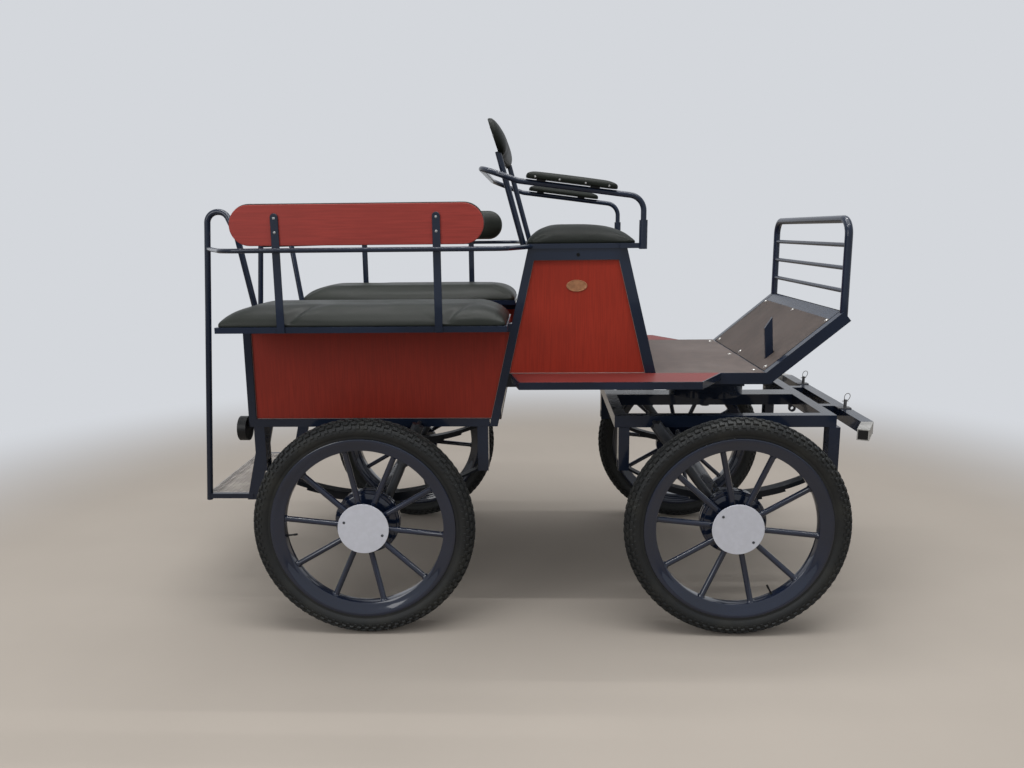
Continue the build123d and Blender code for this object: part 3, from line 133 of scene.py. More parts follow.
class Recipe:
    """The node tree of one material, or of the world, and the few ways of adding to it."""

    def __init__(self, owner: bpy.types.ID) -> None:
        """Start from the nodes that Blender gives a new material or world.

        Args:
            owner: the new material or world.
        """
        owner.use_nodes = True
        self.owner = owner
        self.tree = owner.node_tree

    def node(
        self,
        kind: str,
        settings: dict | None = None,
        inputs: dict | None = None,
        output: int | str = 0,
    ) -> Value:
        """Add one node.

        Args:
            kind: the node's type.
            settings: its own settings, set before its sockets.
            inputs: numbers, colours or Values by socket name or number.
            output: the socket that the caller wants.

        Returns:
            The wanted output.
        """
        made = self.tree.nodes.new(kind)
        for name, value in (settings or {}).items():
            setattr(made, name, value)
        self._fill(made, inputs or {})
        return Value(self, made.outputs[output])

    def _fill(self, node: bpy.types.Node, inputs: dict) -> None:
        """Give a node's sockets their numbers, colours or links."""
        for key, value in inputs.items():
            if isinstance(value, Value):
                self.tree.links.new(value.socket, node.inputs[key])
            else:
                node.inputs[key].default_value = value

    def surface(self, inputs: dict) -> None:
        """Set or link the sockets of the material's Principled shader."""
        self._fill(self.tree.nodes["Principled BSDF"], inputs)

    def place(self, stretch: Sequence[float] = (1, 1, 1)) -> Value:
        """Give the place on the object, scaled along each axis."""
        spot = self.node("ShaderNodeTexCoord", output="Object")
        return self.node("ShaderNodeMapping", inputs={"Vector": spot, "Scale": stretch})

    def noise(self, scale: float, detail: float = 3, stretch: Sequence[float] = (1, 1, 1)) -> Value:
        """Give cloudy noise between 0 and 1.

        Args:
            scale: spots to the metre.
            detail: finer layers to add.
            stretch: how many times finer it is along each axis.

        Returns:
            The noise.
        """
        return self.node(
            "ShaderNodeTexNoise", inputs={"Vector": self.place(stretch), "Scale": scale, "Detail": detail}
        )

    def cells(self, scale: float, stretch: Sequence[float] = (1, 1, 1)) -> Value:
        """Give the distance from the nearest of many scattered points."""
        return self.node("ShaderNodeTexVoronoi", inputs={"Vector": self.place(stretch), "Scale": scale})

    def facing_up(self) -> Value:
        """Give 1 where the surface faces up and 0 where it is upright or faces down."""
        normal = self.node("ShaderNodeNewGeometry", output="Normal")
        return self.node("ShaderNodeSeparateXYZ", inputs={0: normal}, output="Z").ramp(0.35, 0.95)

    def mix(self, factor: Value | float, first: Value | Colour, second: Value | Colour) -> Value:
        """Blend two colours."""
        return self.node(
            "ShaderNodeMix", {"data_type": "RGBA"}, {0: factor, 6: first, 7: second}, output=2
        )

    def bump(
        self, height: Value, distance: float, strength: float = 1.0, under: Value | None = None
    ) -> Value:
        """Turn a height into a bumped normal.

        Args:
            height: the height, 0 to 1.
            distance: how many metres a height of 1 stands for.
            strength: share of the effect.
            under: a normal that it builds on.

        Returns:
            The normal.
        """
        inputs = {"Height": height, "Distance": distance, "Strength": strength}
        if under is not None:
            inputs["Normal"] = under
        return self.node("ShaderNodeBump", inputs=inputs)

    def eased_edges(self, radius: float) -> Value:
        """Give a normal that rounds the edges a little, as paint does."""
        return self.node("ShaderNodeBevel", {"samples": 4}, {"Radius": radius})


class Grain(Enum):
    """The way a board's wood grain runs."""

    UPRIGHT = (55, 55, 2.2)
    LENGTHWISE = (2.2, 55, 55)


@dataclass(frozen=True)
class Finish:
    """A surface finish of the carriage."""

    name: str
    colour: Colour

    def fill(self, recipe: Recipe) -> None:
        """Add the finish's nodes to a new material."""
        raise NotImplementedError


@dataclass(frozen=True)
class GlossPaint(Finish):
    """Glossy enamel on steel, with a little dust where it faces up."""

    roughness: float = 0.22
    dust: float = 0.2
    edge: float = 0.0016
    shine: float = 0.12
    lacquer: float = 0.45

    def fill(self, recipe: Recipe) -> None:
        """Add the enamel's nodes."""
        patches = recipe.noise(9, 4)
        dusty = recipe.facing_up() * patches.ramp(0.35, 0.75) * self.dust
        shade = recipe.mix(recipe.noise(3, 2).ramp(0.3, 0.7), self.colour, shaded(self.colour, 1.5))
        ripple = recipe.noise(70, 2)
        recipe.surface(
            {
                "Base Color": recipe.mix(dusty, shade, tone(96, 97, 100)),
                "Roughness": self.roughness + dusty * 0.35 + patches * 0.08,
                "Normal": recipe.bump(ripple, 0.0004, 0.35, recipe.eased_edges(self.edge)),
                "Specular IOR Level": self.shine,
                "Coat Weight": self.lacquer,
                "Coat Roughness": 0.05,
            }
        )


@dataclass(frozen=True)
class PaintedBoard(Finish):
    """Satin paint on plywood, through which the grain shows a little."""

    grain: Grain = Grain.UPRIGHT
    roughness: float = 0.42

    def fill(self, recipe: Recipe) -> None:
        """Add the painted board's nodes."""
        fibres = recipe.noise(4, 5, self.grain.value)
        clouds = recipe.noise(5, 3)
        darker = shaded(self.colour, 0.84)
        lighter = shaded(self.colour, 1.08)
        shade = recipe.mix(fibres.ramp(0.3, 0.72), darker, lighter)
        shade = recipe.mix(clouds.ramp(0.35, 0.7) * 0.5, shade, darker)
        recipe.surface(
            {
                "Base Color": shade,
                "Roughness": self.roughness + fibres * 0.12,
                "Normal": recipe.bump(fibres, 0.0005, 0.5, recipe.eased_edges(0.001)),
                "Specular IOR Level": 0.22,
            }
        )


@dataclass(frozen=True)
class FilmPlywood(Finish):
    """Brown film-faced plywood, scuffed and dusty from boots."""

    scuff: Colour = tone(130, 121, 117)
    wear: float = 1.0

    def fill(self, recipe: Recipe) -> None:
        """Add the plywood's nodes."""
        mottle = recipe.noise(26, 5)
        clouds = recipe.noise(5, 3)
        rubbed = recipe.noise(7, 4, (1, 7, 1)).ramp(0.52, 0.8)
        darker = shaded(self.colour, 0.7)
        shade = recipe.mix(mottle.ramp(0.3, 0.7), darker, self.colour)
        shade = recipe.mix(clouds.ramp(0.4, 0.75) * (0.45 * self.wear), shade, self.scuff)
        shade = recipe.mix(rubbed * (0.35 * self.wear), shade, self.scuff)
        recipe.surface(
            {
                "Base Color": shade,
                "Roughness": 0.5 + mottle * 0.25,
                "Normal": recipe.bump(mottle, 0.0006, 0.4),
                "Specular IOR Level": 0.2,
            }
        )


@dataclass(frozen=True)
class Vinyl(Finish):
    """Dark upholstery vinyl with a fine leather grain."""

    shine: float = 0.22

    def fill(self, recipe: Recipe) -> None:
        """Add the vinyl's nodes."""
        pores = recipe.cells(620)
        folds = recipe.noise(16, 4)
        worn = recipe.noise(6, 3).ramp(0.4, 0.75)
        lighter = shaded(self.colour, 1.9)
        recipe.surface(
            {
                "Base Color": recipe.mix(worn * 0.6 + pores * 0.25, self.colour, lighter),
                "Roughness": 0.36 + worn * 0.12 + pores * 0.1,
                "Normal": recipe.bump(pores, 0.0005, 0.3, recipe.bump(folds, 0.004, 0.35)),
                "Specular IOR Level": self.shine,
            }
        )


@dataclass(frozen=True)
class TyreRubber(Finish):
    """Black tyre rubber, brown with dust between the blocks."""

    dust: Colour = tone(54, 54, 48)

    def fill(self, recipe: Recipe) -> None:
        """Add the rubber's nodes."""
        grit = recipe.noise(240, 4)
        clouds = recipe.noise(11, 4)
        shade = recipe.mix(clouds.ramp(0.42, 0.75) * 0.3, self.colour, self.dust)
        shade = recipe.mix(grit.ramp(0.55, 0.8) * 0.3, shade, self.dust)
        recipe.surface(
            {
                "Base Color": shade,
                "Roughness": 0.48 + clouds * 0.3,
                "Specular IOR Level": 0.4,
                "Normal": recipe.bump(grit, 0.0008, 0.5),
            }
        )


@dataclass(frozen=True)
class BareMetal(Finish):
    """Bare or plated metal, clouded by handling."""

    roughness: float = 0.4
    metallic: float = 1.0
    clouding: float = 0.12
    spots: float = 14
    mottle: float = 0.3

    def fill(self, recipe: Recipe) -> None:
        """Add the metal's nodes."""
        clouds = recipe.noise(self.spots, 5)
        scratches = recipe.noise(30, 3, (1, 1, 12))
        darker = shaded(self.colour, 1 - self.mottle)
        recipe.surface(
            {
                "Base Color": recipe.mix(clouds.ramp(0.35, 0.7), darker, self.colour),
                "Metallic": self.metallic,
                "Roughness": self.roughness + (clouds - 0.5) * self.clouding + scratches * 0.08,
                "Normal": recipe.bump(scratches, 0.0002, 0.4, recipe.eased_edges(0.0008)),
            }
        )


@dataclass(frozen=True)
class Plastic(Finish):
    """Moulded plastic or glass with a fine surface texture."""

    roughness: float = 0.35

    def fill(self, recipe: Recipe) -> None:
        """Add the plastic's nodes."""
        texture = recipe.noise(300, 2)
        lighter = shaded(self.colour, 1.3)
        recipe.surface(
            {
                "Base Color": recipe.mix(recipe.noise(20, 3), self.colour, lighter),
                "Roughness": self.roughness + texture * 0.1,
                "Specular IOR Level": 0.25,
                "Normal": recipe.bump(texture, 0.0002, 0.4, recipe.eased_edges(0.001)),
            }
        )


NAVY = GlossPaint("navy_enamel", tone(19, 27, 42))
NAVY_WHEEL = GlossPaint("navy_wheel_enamel", tone(15, 23, 40), roughness=0.16, dust=0.12, lacquer=0.9)
RED_BOX = PaintedBoard("red_box_board", tone(142, 42, 27))
# Painted shade: the box panels' red made darker, standing for the shade under the benches' overhang on the
# rear panels.
RED_REAR_PAINTED_SHADE = PaintedBoard("red_rear_board_painted_shade", tone(131, 37, 24))
# Partly painted reflection: the boards' own red, lightened toward pink to stand for the pale reflection on
# them.
RED_BACKREST_PAINTED_REFLECTION = PaintedBoard("red_backrest_painted_reflection", tone(141, 54, 48), grain=Grain.LENGTHWISE)
RED_LEDGE = PaintedBoard("red_ledge", tone(108, 43, 39), grain=Grain.LENGTHWISE)
PLYWOOD = FilmPlywood("film_plywood", tone(91, 82, 78), scuff=tone(106, 97, 93))
SLOPE_PLYWOOD = FilmPlywood("footboard_plywood", tone(77, 69, 65), scuff=tone(91, 83, 79), wear=0.6)
VINYL = Vinyl("olive_black_vinyl", tone(25, 28, 24))
DRIVER_VINYL = Vinyl("driver_black_vinyl", tone(17, 20, 17), shine=0.08)
RUBBER = TyreRubber("tyre_rubber", tone(14, 17, 18))
CAP_ALUMINIUM = BareMetal(
    "cap_aluminium", tone(193, 196, 206), roughness=0.5, metallic=0.15, clouding=0.15, spots=60, mottle=0.06
)
ZINC = BareMetal("zinc_bolts", tone(206, 204, 199), roughness=0.3)
DULL_ZINC = BareMetal("dull_zinc", tone(168, 168, 168), roughness=0.42, metallic=0.7)
PIN_STEEL = BareMetal("pin_steel", tone(112, 112, 114), roughness=0.42, metallic=0.7)
STEP_ZINC = BareMetal("step_zinc", tone(176, 170, 164), roughness=0.45, metallic=0.6)
CLIP_WIRE = BareMetal("clip_wire", tone(84, 74, 68), roughness=0.35)
SPRING_STEEL = GlossPaint("spring_enamel", tone(18, 21, 26), roughness=0.36, dust=0.3, lacquer=0.1)
DAMPER_GREY = BareMetal("damper_grey", tone(66, 69, 74), roughness=0.42, metallic=0.5)
END_CAP = BareMetal("end_cap_grey", tone(170, 169, 166), roughness=0.5, metallic=0.3)
BADGE = BareMetal("badge_bronze", tone(164, 116, 82), roughness=0.42, metallic=0.45, spots=60)
BLACK_PLASTIC = Plastic("black_plastic", tone(12, 13, 15))
# Painted shade: near-black, for thin strips and discs that stand for the shade in gaps and holes.
SHADE_BLACK = Plastic("painted_shade_black", tone(3, 4, 5), roughness=0.8)
RED_LENS = Plastic("red_lens", tone(110, 14, 12), roughness=0.12)
SEAM = Plastic("seam_line", tone(120, 104, 100), roughness=0.5)


@lru_cache(maxsize=None)
def material(finish: Finish) -> bpy.types.Material:
    """Make the material of a finish, once."""
    recipe = Recipe(bpy.data.materials.new(finish.name))
    finish.fill(recipe)
    return recipe.owner


class Shape:
    """A mesh under construction, in the part's frame."""

    def __init__(self) -> None:
        """Start empty."""
        self.points: list[Vector] = []
        self.faces: list[tuple[int, ...]] = []

    def skin(self, rings: Sequence[Sequence[Vector]], caps: bool = True, loop: bool = False) -> None:
        """Join rings of points, one after the other.

        Args:
            rings: rings of equally many points.
            caps: whether the first and last ring are closed by a face.
            loop: whether the last ring joins the first.
        """
        base, count = len(self.points), len(rings[0])
        for ring in rings:
            self.points.extend(ring)
        for row in range(len(rings) if loop else len(rings) - 1):
            near, far = base + row * count, base + (row + 1) % len(rings) * count
            for i in range(count):
                j = (i + 1) % count
                self.faces.append((near + i, near + j, far + j, far + i))
        if caps and not loop:
            self.faces.append(tuple(base + i for i in reversed(range(count))))
            last = base + (len(rings) - 1) * count
            self.faces.append(tuple(last + i for i in range(count)))

    def sheet(self, rows: Sequence[Sequence[Vector]]) -> None:
        """Add a sheet of quads over rows of points."""
        base, count = len(self.points), len(rows[0])
        for row in rows:
            self.points.extend(row)
        for i in range(len(rows) - 1):
            for j in range(count - 1):
                first = base + i * count + j
                self.faces.append((first, first + 1, first + 1 + count, first + count))

    def lathe(
        self,
        profile: Sequence[Point],
        centre: Vector,
        axis: Vector,
        count: int,
        caps: bool = True,
        loop: bool = False,
    ) -> None:
        """Turn a profile round an axis.

        Args:
            profile: distances along the axis and from it.
            centre: the axis's zero point.
            axis: its direction.
            count: points in each ring.
            caps: whether the ends are closed.
            loop: whether the profile closes on itself.
        """
        side, up = frame_across(axis)
        spokes = [side * math.cos(t) + up * math.sin(t) for t in circle(count)]
        rings = [[centre + axis * out + spoke * radius for spoke in spokes] for out, radius in profile]
        self.skin(rings, caps, loop)

    def tube(self, path: Sequence[Vector], radius: float, count: int = 12) -> None:
        """Run a round tube along a path."""
        rings = []
        side = None
        for i, point in enumerate(path):
            run = (path[min(i + 1, len(path) - 1)] - path[max(i - 1, 0)]).normalized()
            if side is None:
                side = frame_across(run)[0]
            side = (side - run * side.dot(run)).normalized()
            up = run.cross(side)
            rings.append([point + (side * math.cos(t) + up * math.sin(t)) * radius for t in circle(count)])
        self.skin(rings)

    def prism(self, outline: Sequence[Vector], depth: Vector, edge: float) -> None:
        """Thicken a flat outline, with its edges eased.

        Args:
            outline: corners in order.
            depth: the way and distance that it is thickened.
            edge: how far the edges are cut back.
        """
        normal = depth.normalized()
        middle = sum(outline, Vector()) / len(outline)
        inner = []
        for i, corner in enumerate(outline):
            before = (corner - outline[i - 1]).normalized()
            after = (outline[(i + 1) % len(outline)] - corner).normalized()
            one, two = normal.cross(before), normal.cross(after)
            inward = (one + two) / max(1 + one.dot(two), 0.2)
            if inward.dot(middle - corner) < 0:
                inward = -inward
            inner.append(corner + inward * edge)
        self.skin(
            [
                inner,
                [corner + normal * edge for corner in outline],
                [corner + depth - normal * edge for corner in outline],
                [corner + depth for corner in inner],
            ]
        )

    def slab(self, low: Sequence[float], high: Sequence[float], edge: float = 0.0008) -> None:
        """Add an upright box between two corners, with its edges eased."""
        x0, y0, z0 = (min(a, b) for a, b in zip(low, high))
        x1, y1, z1 = (max(a, b) for a, b in zip(low, high))
        outline = [Vector((x0, y0, z0)), Vector((x1, y0, z0)), Vector((x1, y1, z0)), Vector((x0, y1, z0))]
        self.prism(outline, Vector((0, 0, z1 - z0)), edge)

    def bolt(self, seat: Vector, out: Vector, radius: float, height: float) -> None:
        """Add a domed bolt head on its washer."""
        dome = [(height * math.sin(a), radius * math.cos(a)) for a in (0.15, 0.5, 0.85, 1.2, 1.45)]
        washer = radius * 1.35
        profile = [(-0.001, washer), (0.0009, washer), (0.0011, radius), *dome]
        self.lathe(profile, seat, out, 14)

    def to_object(
        self,
        name: str,
        finish: Finish,
        body: str,
        replaces: Iterable[str] = (),
        slot: str | None = None,
        sharp: float = 32,
    ) -> Piece:
        """Turn the mesh into a piece that rides on a body.

        Args:
            name: the piece's name.
            finish: its finish.
            body: the CAD body that it rides on.
            replaces: CAD nodes that it stands for.
            slot: not used.
            sharp: the angle in degrees past which an edge stays sharp.

        Returns:
            The piece.
        """
        mesh = bpy.data.meshes.new(name)
        mesh.from_pydata(self.points, [], self.faces)
        build = bmesh.new()
        build.from_mesh(mesh)
        bmesh.ops.remove_doubles(build, verts=build.verts, dist=1e-6)
        bmesh.ops.recalc_face_normals(build, faces=build.faces)
        build.to_mesh(mesh)
        build.free()
        mesh.polygons.foreach_set("use_smooth", [True] * len(mesh.polygons))
        mesh.set_sharp_from_angle(angle=math.radians(sharp))
        mesh.materials.append(material(finish))
        made = bpy.data.objects.new(name, mesh)
        bpy.context.scene.collection.objects.link(made)
        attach(made, body)
        if replaces:
            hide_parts(*replaces)
        return made


def frame_across(axis: Vector) -> tuple[Vector, Vector]:
    """Give two directions square to an axis and to each other."""
    guide = UP if abs(axis.z) < 0.9 else Vector((1, 0, 0))
    side = guide.cross(axis).normalized()
    return side, axis.normalized().cross(side)


def stadium(half_length: float, half_width: float, steps: int = 16) -> list[Point]:
    """Give the outline of a long shape with half-round ends."""
    straight = half_length - half_width
    ends = []
    for centre, start in ((straight, -90), (-straight, 90)):
        for i in range(steps + 1):
            angle = math.radians(start + 180 * i / steps)
            ends.append((centre + half_width * math.cos(angle), half_width * math.sin(angle)))
    return ends


@dataclass
class Pad:
    """A stuffed piece with a flat back, a low upright side and a crowned face."""

    EDGE_GAP: ClassVar[float] = 0.002
    GAP_GROWTH: ClassVar[float] = 1.4
    GRADED_SHARE: ClassVar[float] = 0.6
    BACK_INSET: ClassVar[float] = 0.0015
    WALL_SHARES: ClassVar[tuple[float, ...]] = (0.2, 0.6, 1)
    CREASE_SHARE: ClassVar[float] = 0.32

    name: str
    origin: Vector
    along: Vector
    across: Vector
    half_length: float
    half_width: float
    corner: float
    side: float
    crown: float
    end_falls: tuple[float, float]
    side_falls: tuple[float, float]
    replaces: tuple[str, ...]
    slot: str = "vinyl"
    finish: Finish = VINYL
    swell: float = 0.006
    fill: float = 0.7
    creases: tuple[tuple[Point, Point], ...] = ()
    body: str = ROOT
    cell: float = 0.012
    made: Piece | None = field(default=None, init=False)

    @property
    def out(self) -> Vector:
        """The way its face points."""
        return self.along.cross(self.across).normalized()

    def _spots(self, half: float) -> list[float]:
        """Spread grid lines over a width, closer together near its two edges."""
        gaps = [self.EDGE_GAP]
        while gaps[-1] * self.GAP_GROWTH < self.cell and sum(gaps) < half * self.GRADED_SHARE:
            gaps.append(gaps[-1] * self.GAP_GROWTH)
        rest = half - sum(gaps)
        steps = max(round(rest / self.cell), 1)
        gaps += [rest / steps] * steps
        spots = [-half]
        for gap in gaps + gaps[::-1]:
            spots.append(spots[-1] + gap)
        return spots

    def _rounded(self, u: float, v: float, inset: float) -> Point:
        """Move a spot of the square-cornered grid to the pad's round-cornered outline."""
        corner = self.corner
        p = (abs(u) - self.half_length + corner) / corner
        q = (abs(v) - self.half_width + corner) / corner
        if p > 0 and q > 0:
            bent_p, bent_q = p * math.sqrt(1 - q * q / 2), q * math.sqrt(1 - p * p / 2)
            u = math.copysign(self.half_length - corner + bent_p * corner, u)
            v = math.copysign(self.half_width - corner + bent_q * corner, v)
        return u * (1 - inset / self.half_length), v * (1 - inset / self.half_width)

    def height(self, u: float, v: float) -> float:
        """Give the face's height above the back at a spot of the square-cornered grid."""
        rise = 1.0
        for fall, gap in zip(self.end_falls, (u + self.half_length, self.half_length - u)):
            rise *= dome(gap / fall)
        for fall, gap in zip(self.side_falls, (v + self.half_width, self.half_width - v)):
            rise *= dome(gap / fall)
        for first, second in self.creases:
            rise -= self.CREASE_SHARE * fold_depth((u, v), first, second)
        return self.side + self.crown * max(rise, 0)

    def shape(self) -> Piece:
        """Build the pad before it swells."""
        grid = [[(u, v) for v in self._spots(self.half_width)] for u in self._spots(self.half_length)]
        face = [[self._rounded(u, v, 0) for u, v in row] for row in grid]
        back = [[self._rounded(u, v, self.BACK_INSET) for u, v in row] for row in grid]
        shape = Shape()
        shape.sheet(
            [[self.at(*spot, self.height(u, v)) for spot, (u, v) in zip(*rows)] for rows in zip(face, grid)]
        )
        shape.sheet([[self.at(u, v, 0) for u, v in row] for row in back])
        walls = [[self.at(u, v, 0) for u, v in around(back)]]
        walls += [[self.at(u, v, share * self.side) for u, v in around(face)] for share in self.WALL_SHARES]
        shape.skin(walls, caps=False)
        self.made = shape.to_object(self.name, self.finish, self.body, self.replaces, self.slot, sharp=60)
        return self.made

    def at(self, u: float, v: float, height: float) -> Vector:
        """Turn a place on the pad into a point."""
        return self.origin + self.along * u + self.across * v + self.out * height

    def pinned(self) -> list[int]:
        """List the points of the back and the side, which stay where they are."""
        return [
            point.index
            for point in self.made.data.vertices
            if (point.co - self.origin).dot(self.out) < self.side + 1e-5
        ]


def around(grid: Sequence[Sequence[Point]]) -> list[Point]:
    """List the spots on a grid's rim in order."""
    last = [row[-1] for row in grid]
    first = [row[0] for row in grid]
    return list(grid[0]) + last[1:] + list(grid[-1])[-2::-1] + first[-2:0:-1]


def dome(share: float) -> float:
    """Rise like a quarter of a circle from 0 to 1."""
    left = 1 - min(max(share, 0.0), 1.0)
    return math.sqrt(1 - left * left)


def fold_depth(spot: Point, first: Point, second: Point, width: float = 0.013) -> float:
    """Give how deep a crease between two places is at a spot, 0 to 1."""
    run = Vector(second) - Vector(first)
    offset = Vector(spot) - Vector(first)
    share = min(max(offset.dot(run) / run.length_squared, 0), 1)
    gap = (offset - run * share).length
    return math.exp(-((gap / width) ** 2)) * (1 - share**2)


@dataclass
class Upholstery:
    """All the stuffed pieces, which are stuffed together in one cloth simulation."""

    pads: list[Pad]
    pressure: float = 4.0
    last_frame: int = 20

    def build(self) -> list[Piece]:
        """Shape, stuff and smooth every pad."""
        made = [pad.shape() for pad in self.pads]
        self._stuff()
        for piece in made:
            smooth = piece.modifiers.new("smooth", "SUBSURF")
            smooth.levels = smooth.render_levels = 1
        return made

    def _stuff(self) -> None:
        """Blow each cover out against its pinned edge and keep the result."""
        for pad in self.pads:
            piece = pad.made
            pinned = piece.vertex_groups.new(name="pinned")
            pinned.add(pad.pinned(), 1.0, "REPLACE")
            cloth = piece.modifiers.new("stuffing", "CLOTH")
            cloth.settings.quality = 5
            cloth.settings.mass = 0.3
            cloth.settings.vertex_group_mass = "pinned"
            cloth.settings.use_pressure = True
            cloth.settings.uniform_pressure_force = self.pressure
            cloth.settings.bending_stiffness = 2.0
            cloth.settings.effector_weights.gravity = 0
        scene = bpy.context.scene
        for number in range(1, self.last_frame + 1):
            scene.frame_set(number)
        depsgraph = bpy.context.evaluated_depsgraph_get()
        for pad in self.pads:
            piece = pad.made
            before = points_of(piece.data)
            moved = points_of(piece.evaluated_get(depsgraph).data) - before
            reach = np.linalg.norm(moved, axis=1, keepdims=True)
            capped = moved * np.minimum(1, pad.swell / np.maximum(reach, 1e-9))
            for modifier in list(piece.modifiers):
                piece.modifiers.remove(modifier)
            after = before + capped
            piece.data.vertices.foreach_set("co", after.astype(np.float32).ravel())
            piece.data.update()
            LOG.info("%s swelled by up to %.1f mm", piece.name, 1000 * np.linalg.norm(capped, axis=1).max())
        scene.frame_set(1)


def points_of(mesh: bpy.types.Mesh) -> np.ndarray:
    """Give a mesh's points as rows."""
    rows = np.zeros(len(mesh.vertices) * 3, np.float32)
    mesh.vertices.foreach_get("co", rows)
    return rows.reshape(-1, 3).astype(float)


@dataclass
class Wheel:
    """One wheel: knobbly tyre, channel rim, round spokes, hub, drum and cap."""

    name: str
    side: int
    bolt_angles: tuple[float, float]
    valve_angle: float
    casing_radius: float = 0.362
    casing_half_width: float = 0.040
    casing_rise: float = 0.032
    bead_radius: float = 0.3315
    bead_half_width: float = 0.029
    lugs_round: int = 84
    lug_height: float = 0.006
    spokes: int = 10
    spoke_start: float = 30
    spoke_radius: float = 0.0105
    spoke_root: float = 0.008
    hub_radius: float = 0.058
    hub_out: float = 0.022
    drum_radius: float = 0.119
    cap_radius: float = 0.092
    cap_thickness: float = 0.0035
    cap_bolt_circle: float = 0.072
    spoke_flare: tuple[Point, ...] = ((0.2790, 1), (0.2815, 1.12), (0.2845, 1.32), (0.2875, 1.55))
    valve_profile: tuple[Point, ...] = (
        (0.288, 0.0050), (0.281, 0.0050), (0.279, 0.0036), (0.262, 0.0032),
        (0.261, 0.0042), (0.248, 0.0040), (0.247, 0.0025),
    )
    centre: Vector = field(init=False)
    axis: Vector = field(init=False)
    body: str = field(init=False)

    def __post_init__(self) -> None:
        """Find the wheel's middle, its axle's direction and its body."""
        low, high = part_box(f"tyre_{self.name}")
        self.centre = (low + high) / 2
        self.axis = Vector((0, self.side, 0))
        self.body = f"wheel_{self.name}"

    def build(self) -> list[Piece]:
        """Build the wheel's pieces on its own body."""
        return [self.tyre(), self.steelwork(), self.cap(), self.bolts(), self.valve()]

    def _spoke(self, degrees: float) -> Vector:
        """Give the direction at an angle above forward, seen from the right."""
        angle = math.radians(degrees)
        return Vector((math.cos(angle), 0, math.sin(angle)))

    def tyre(self) -> Piece:
        """Build the tyre's casing and its blocks."""
        shape = Shape()
        crown = [math.radians(a) for a in range(-130, 131, 10)]
        profile = [(self.casing_half_width * math.sin(a), self._casing(a)) for a in crown]
        bead = self.bead_half_width, self.bead_radius
        profile = [(-bead[0], bead[1]), *profile, bead]
        shape.lathe(profile, self.centre, self.axis, 144, loop=True)
        pitch = 360 / self.lugs_round
        rows = (
            # profile angle, turn in pitches, length round, width across, height
            (13, 0.0, 0.017, 0.013, self.lug_height),
            (-13, 0.5, 0.017, 0.013, self.lug_height),
            (40, 0.5, 0.018, 0.013, self.lug_height),
            (-40, 0.0, 0.018, 0.013, self.lug_height),
            (66, 0.0, 0.013, 0.010, self.lug_height * 0.8),
            (-66, 0.5, 0.013, 0.010, self.lug_height * 0.8),
            (84, 0.5, 0.009, 0.008, self.lug_height * 0.45),
            (-84, 0.0, 0.009, 0.008, self.lug_height * 0.45),
        )
        for number in range(self.lugs_round):
            for profile_angle, turn, length, width, height in rows:
                self._lug(shape, (number + turn) * pitch, profile_angle, length, width, height)
        return shape.to_object(
            f"tread_{self.name}", RUBBER, self.body, [f"tyre_{self.name}"], "tyre", sharp=28
        )

    def _casing(self, angle: float) -> float:
        """Give the casing's radius at a profile angle from its crown."""
        return self.casing_radius + self.casing_rise * math.cos(angle)

    def _lug(
        self, shape: Shape, turn: float, profile: float, length: float, width: float, height: float
    ) -> None:
        """Add one tread block.

        Args:
            shape: the tyre's mesh.
            turn: its angle round the wheel in degrees.
            profile: its angle from the crown in degrees.
            length: its length round the wheel.
            width: its width across.
            height: how far it stands up.
        """
        angle = math.radians(profile)
        spoke = self._spoke(turn)
        tangent = spoke.cross(self.axis)
        outward, upward = math.sin(angle) / self.casing_half_width, math.cos(angle) / self.casing_rise
        out = (self.axis * outward + spoke * upward).normalized()
        slant = tangent.cross(out)
        across = self.axis * (self.casing_half_width * math.sin(angle))
        foot = self.centre + spoke * self._casing(angle) + across
        rings = []
        # how far out each ring lies, and its share of the block's size
        for lift, share in ((-0.0035, 1.12), (height * 0.72, 1.0), (height, 0.82)):
            half, aside = tangent * (length * share / 2), slant * (width * share / 2)
            rings.append([foot + out * lift + half * a + aside * b for a, b in SQUARE])
        shape.skin(rings)

    def steelwork(self) -> Piece:
        """Build the rim, spokes, hub and drum."""
        shape = Shape()
        outer = [
            (0.0, 0.3195), (0.020, 0.3200), (0.0265, 0.3215), (0.0290, 0.3245), (0.0292, 0.3300),
            (0.0305, 0.3322), (0.0330, 0.3315), (0.0342, 0.3285), (0.0338, 0.3230), (0.0310, 0.3150),
            (0.0262, 0.3060), (0.0222, 0.2970), (0.0205, 0.2900), (0.0180, 0.2868), (0.0120, 0.2860),
        ]
        profile = outer + [(-out, radius) for out, radius in reversed(outer[1:])]
        shape.lathe(profile, self.centre, self.axis, 144, loop=True)
        run = [(self.hub_radius - self.spoke_root, self.spoke_radius)]
        run += [(distance, self.spoke_radius * flare) for distance, flare in self.spoke_flare]
        for number in range(self.spokes):
            spoke = self._spoke(self.spoke_start + 360 / self.spokes * number)
            shape.lathe(run, self.centre, spoke, 18)
        drum = self.drum_radius
        hub = [
            (self.hub_out, 0.020), (self.hub_out, self.hub_radius - 0.004),
            (self.hub_out - 0.003, self.hub_radius),
            (-0.036, self.hub_radius), (-0.040, self.hub_radius + 0.006), (-0.042, drum - 0.016),
            (-0.044, drum - 0.012), (-0.049, drum - 0.010), (-0.050, drum - 0.003), (-0.053, drum),
            (-0.062, drum), (-0.063, drum - 0.003), (-0.072, drum - 0.003), (-0.073, drum), (-0.081, drum),
            (-0.084, drum - 0.003), (-0.084, 0.020),
        ]
        shape.lathe(hub, self.centre, self.axis, 72, loop=True)
        return shape.to_object(
            f"spoked_rim_{self.name}", NAVY_WHEEL, self.body, [f"wheel_{self.name}"], "navy_paint", sharp=30
        )

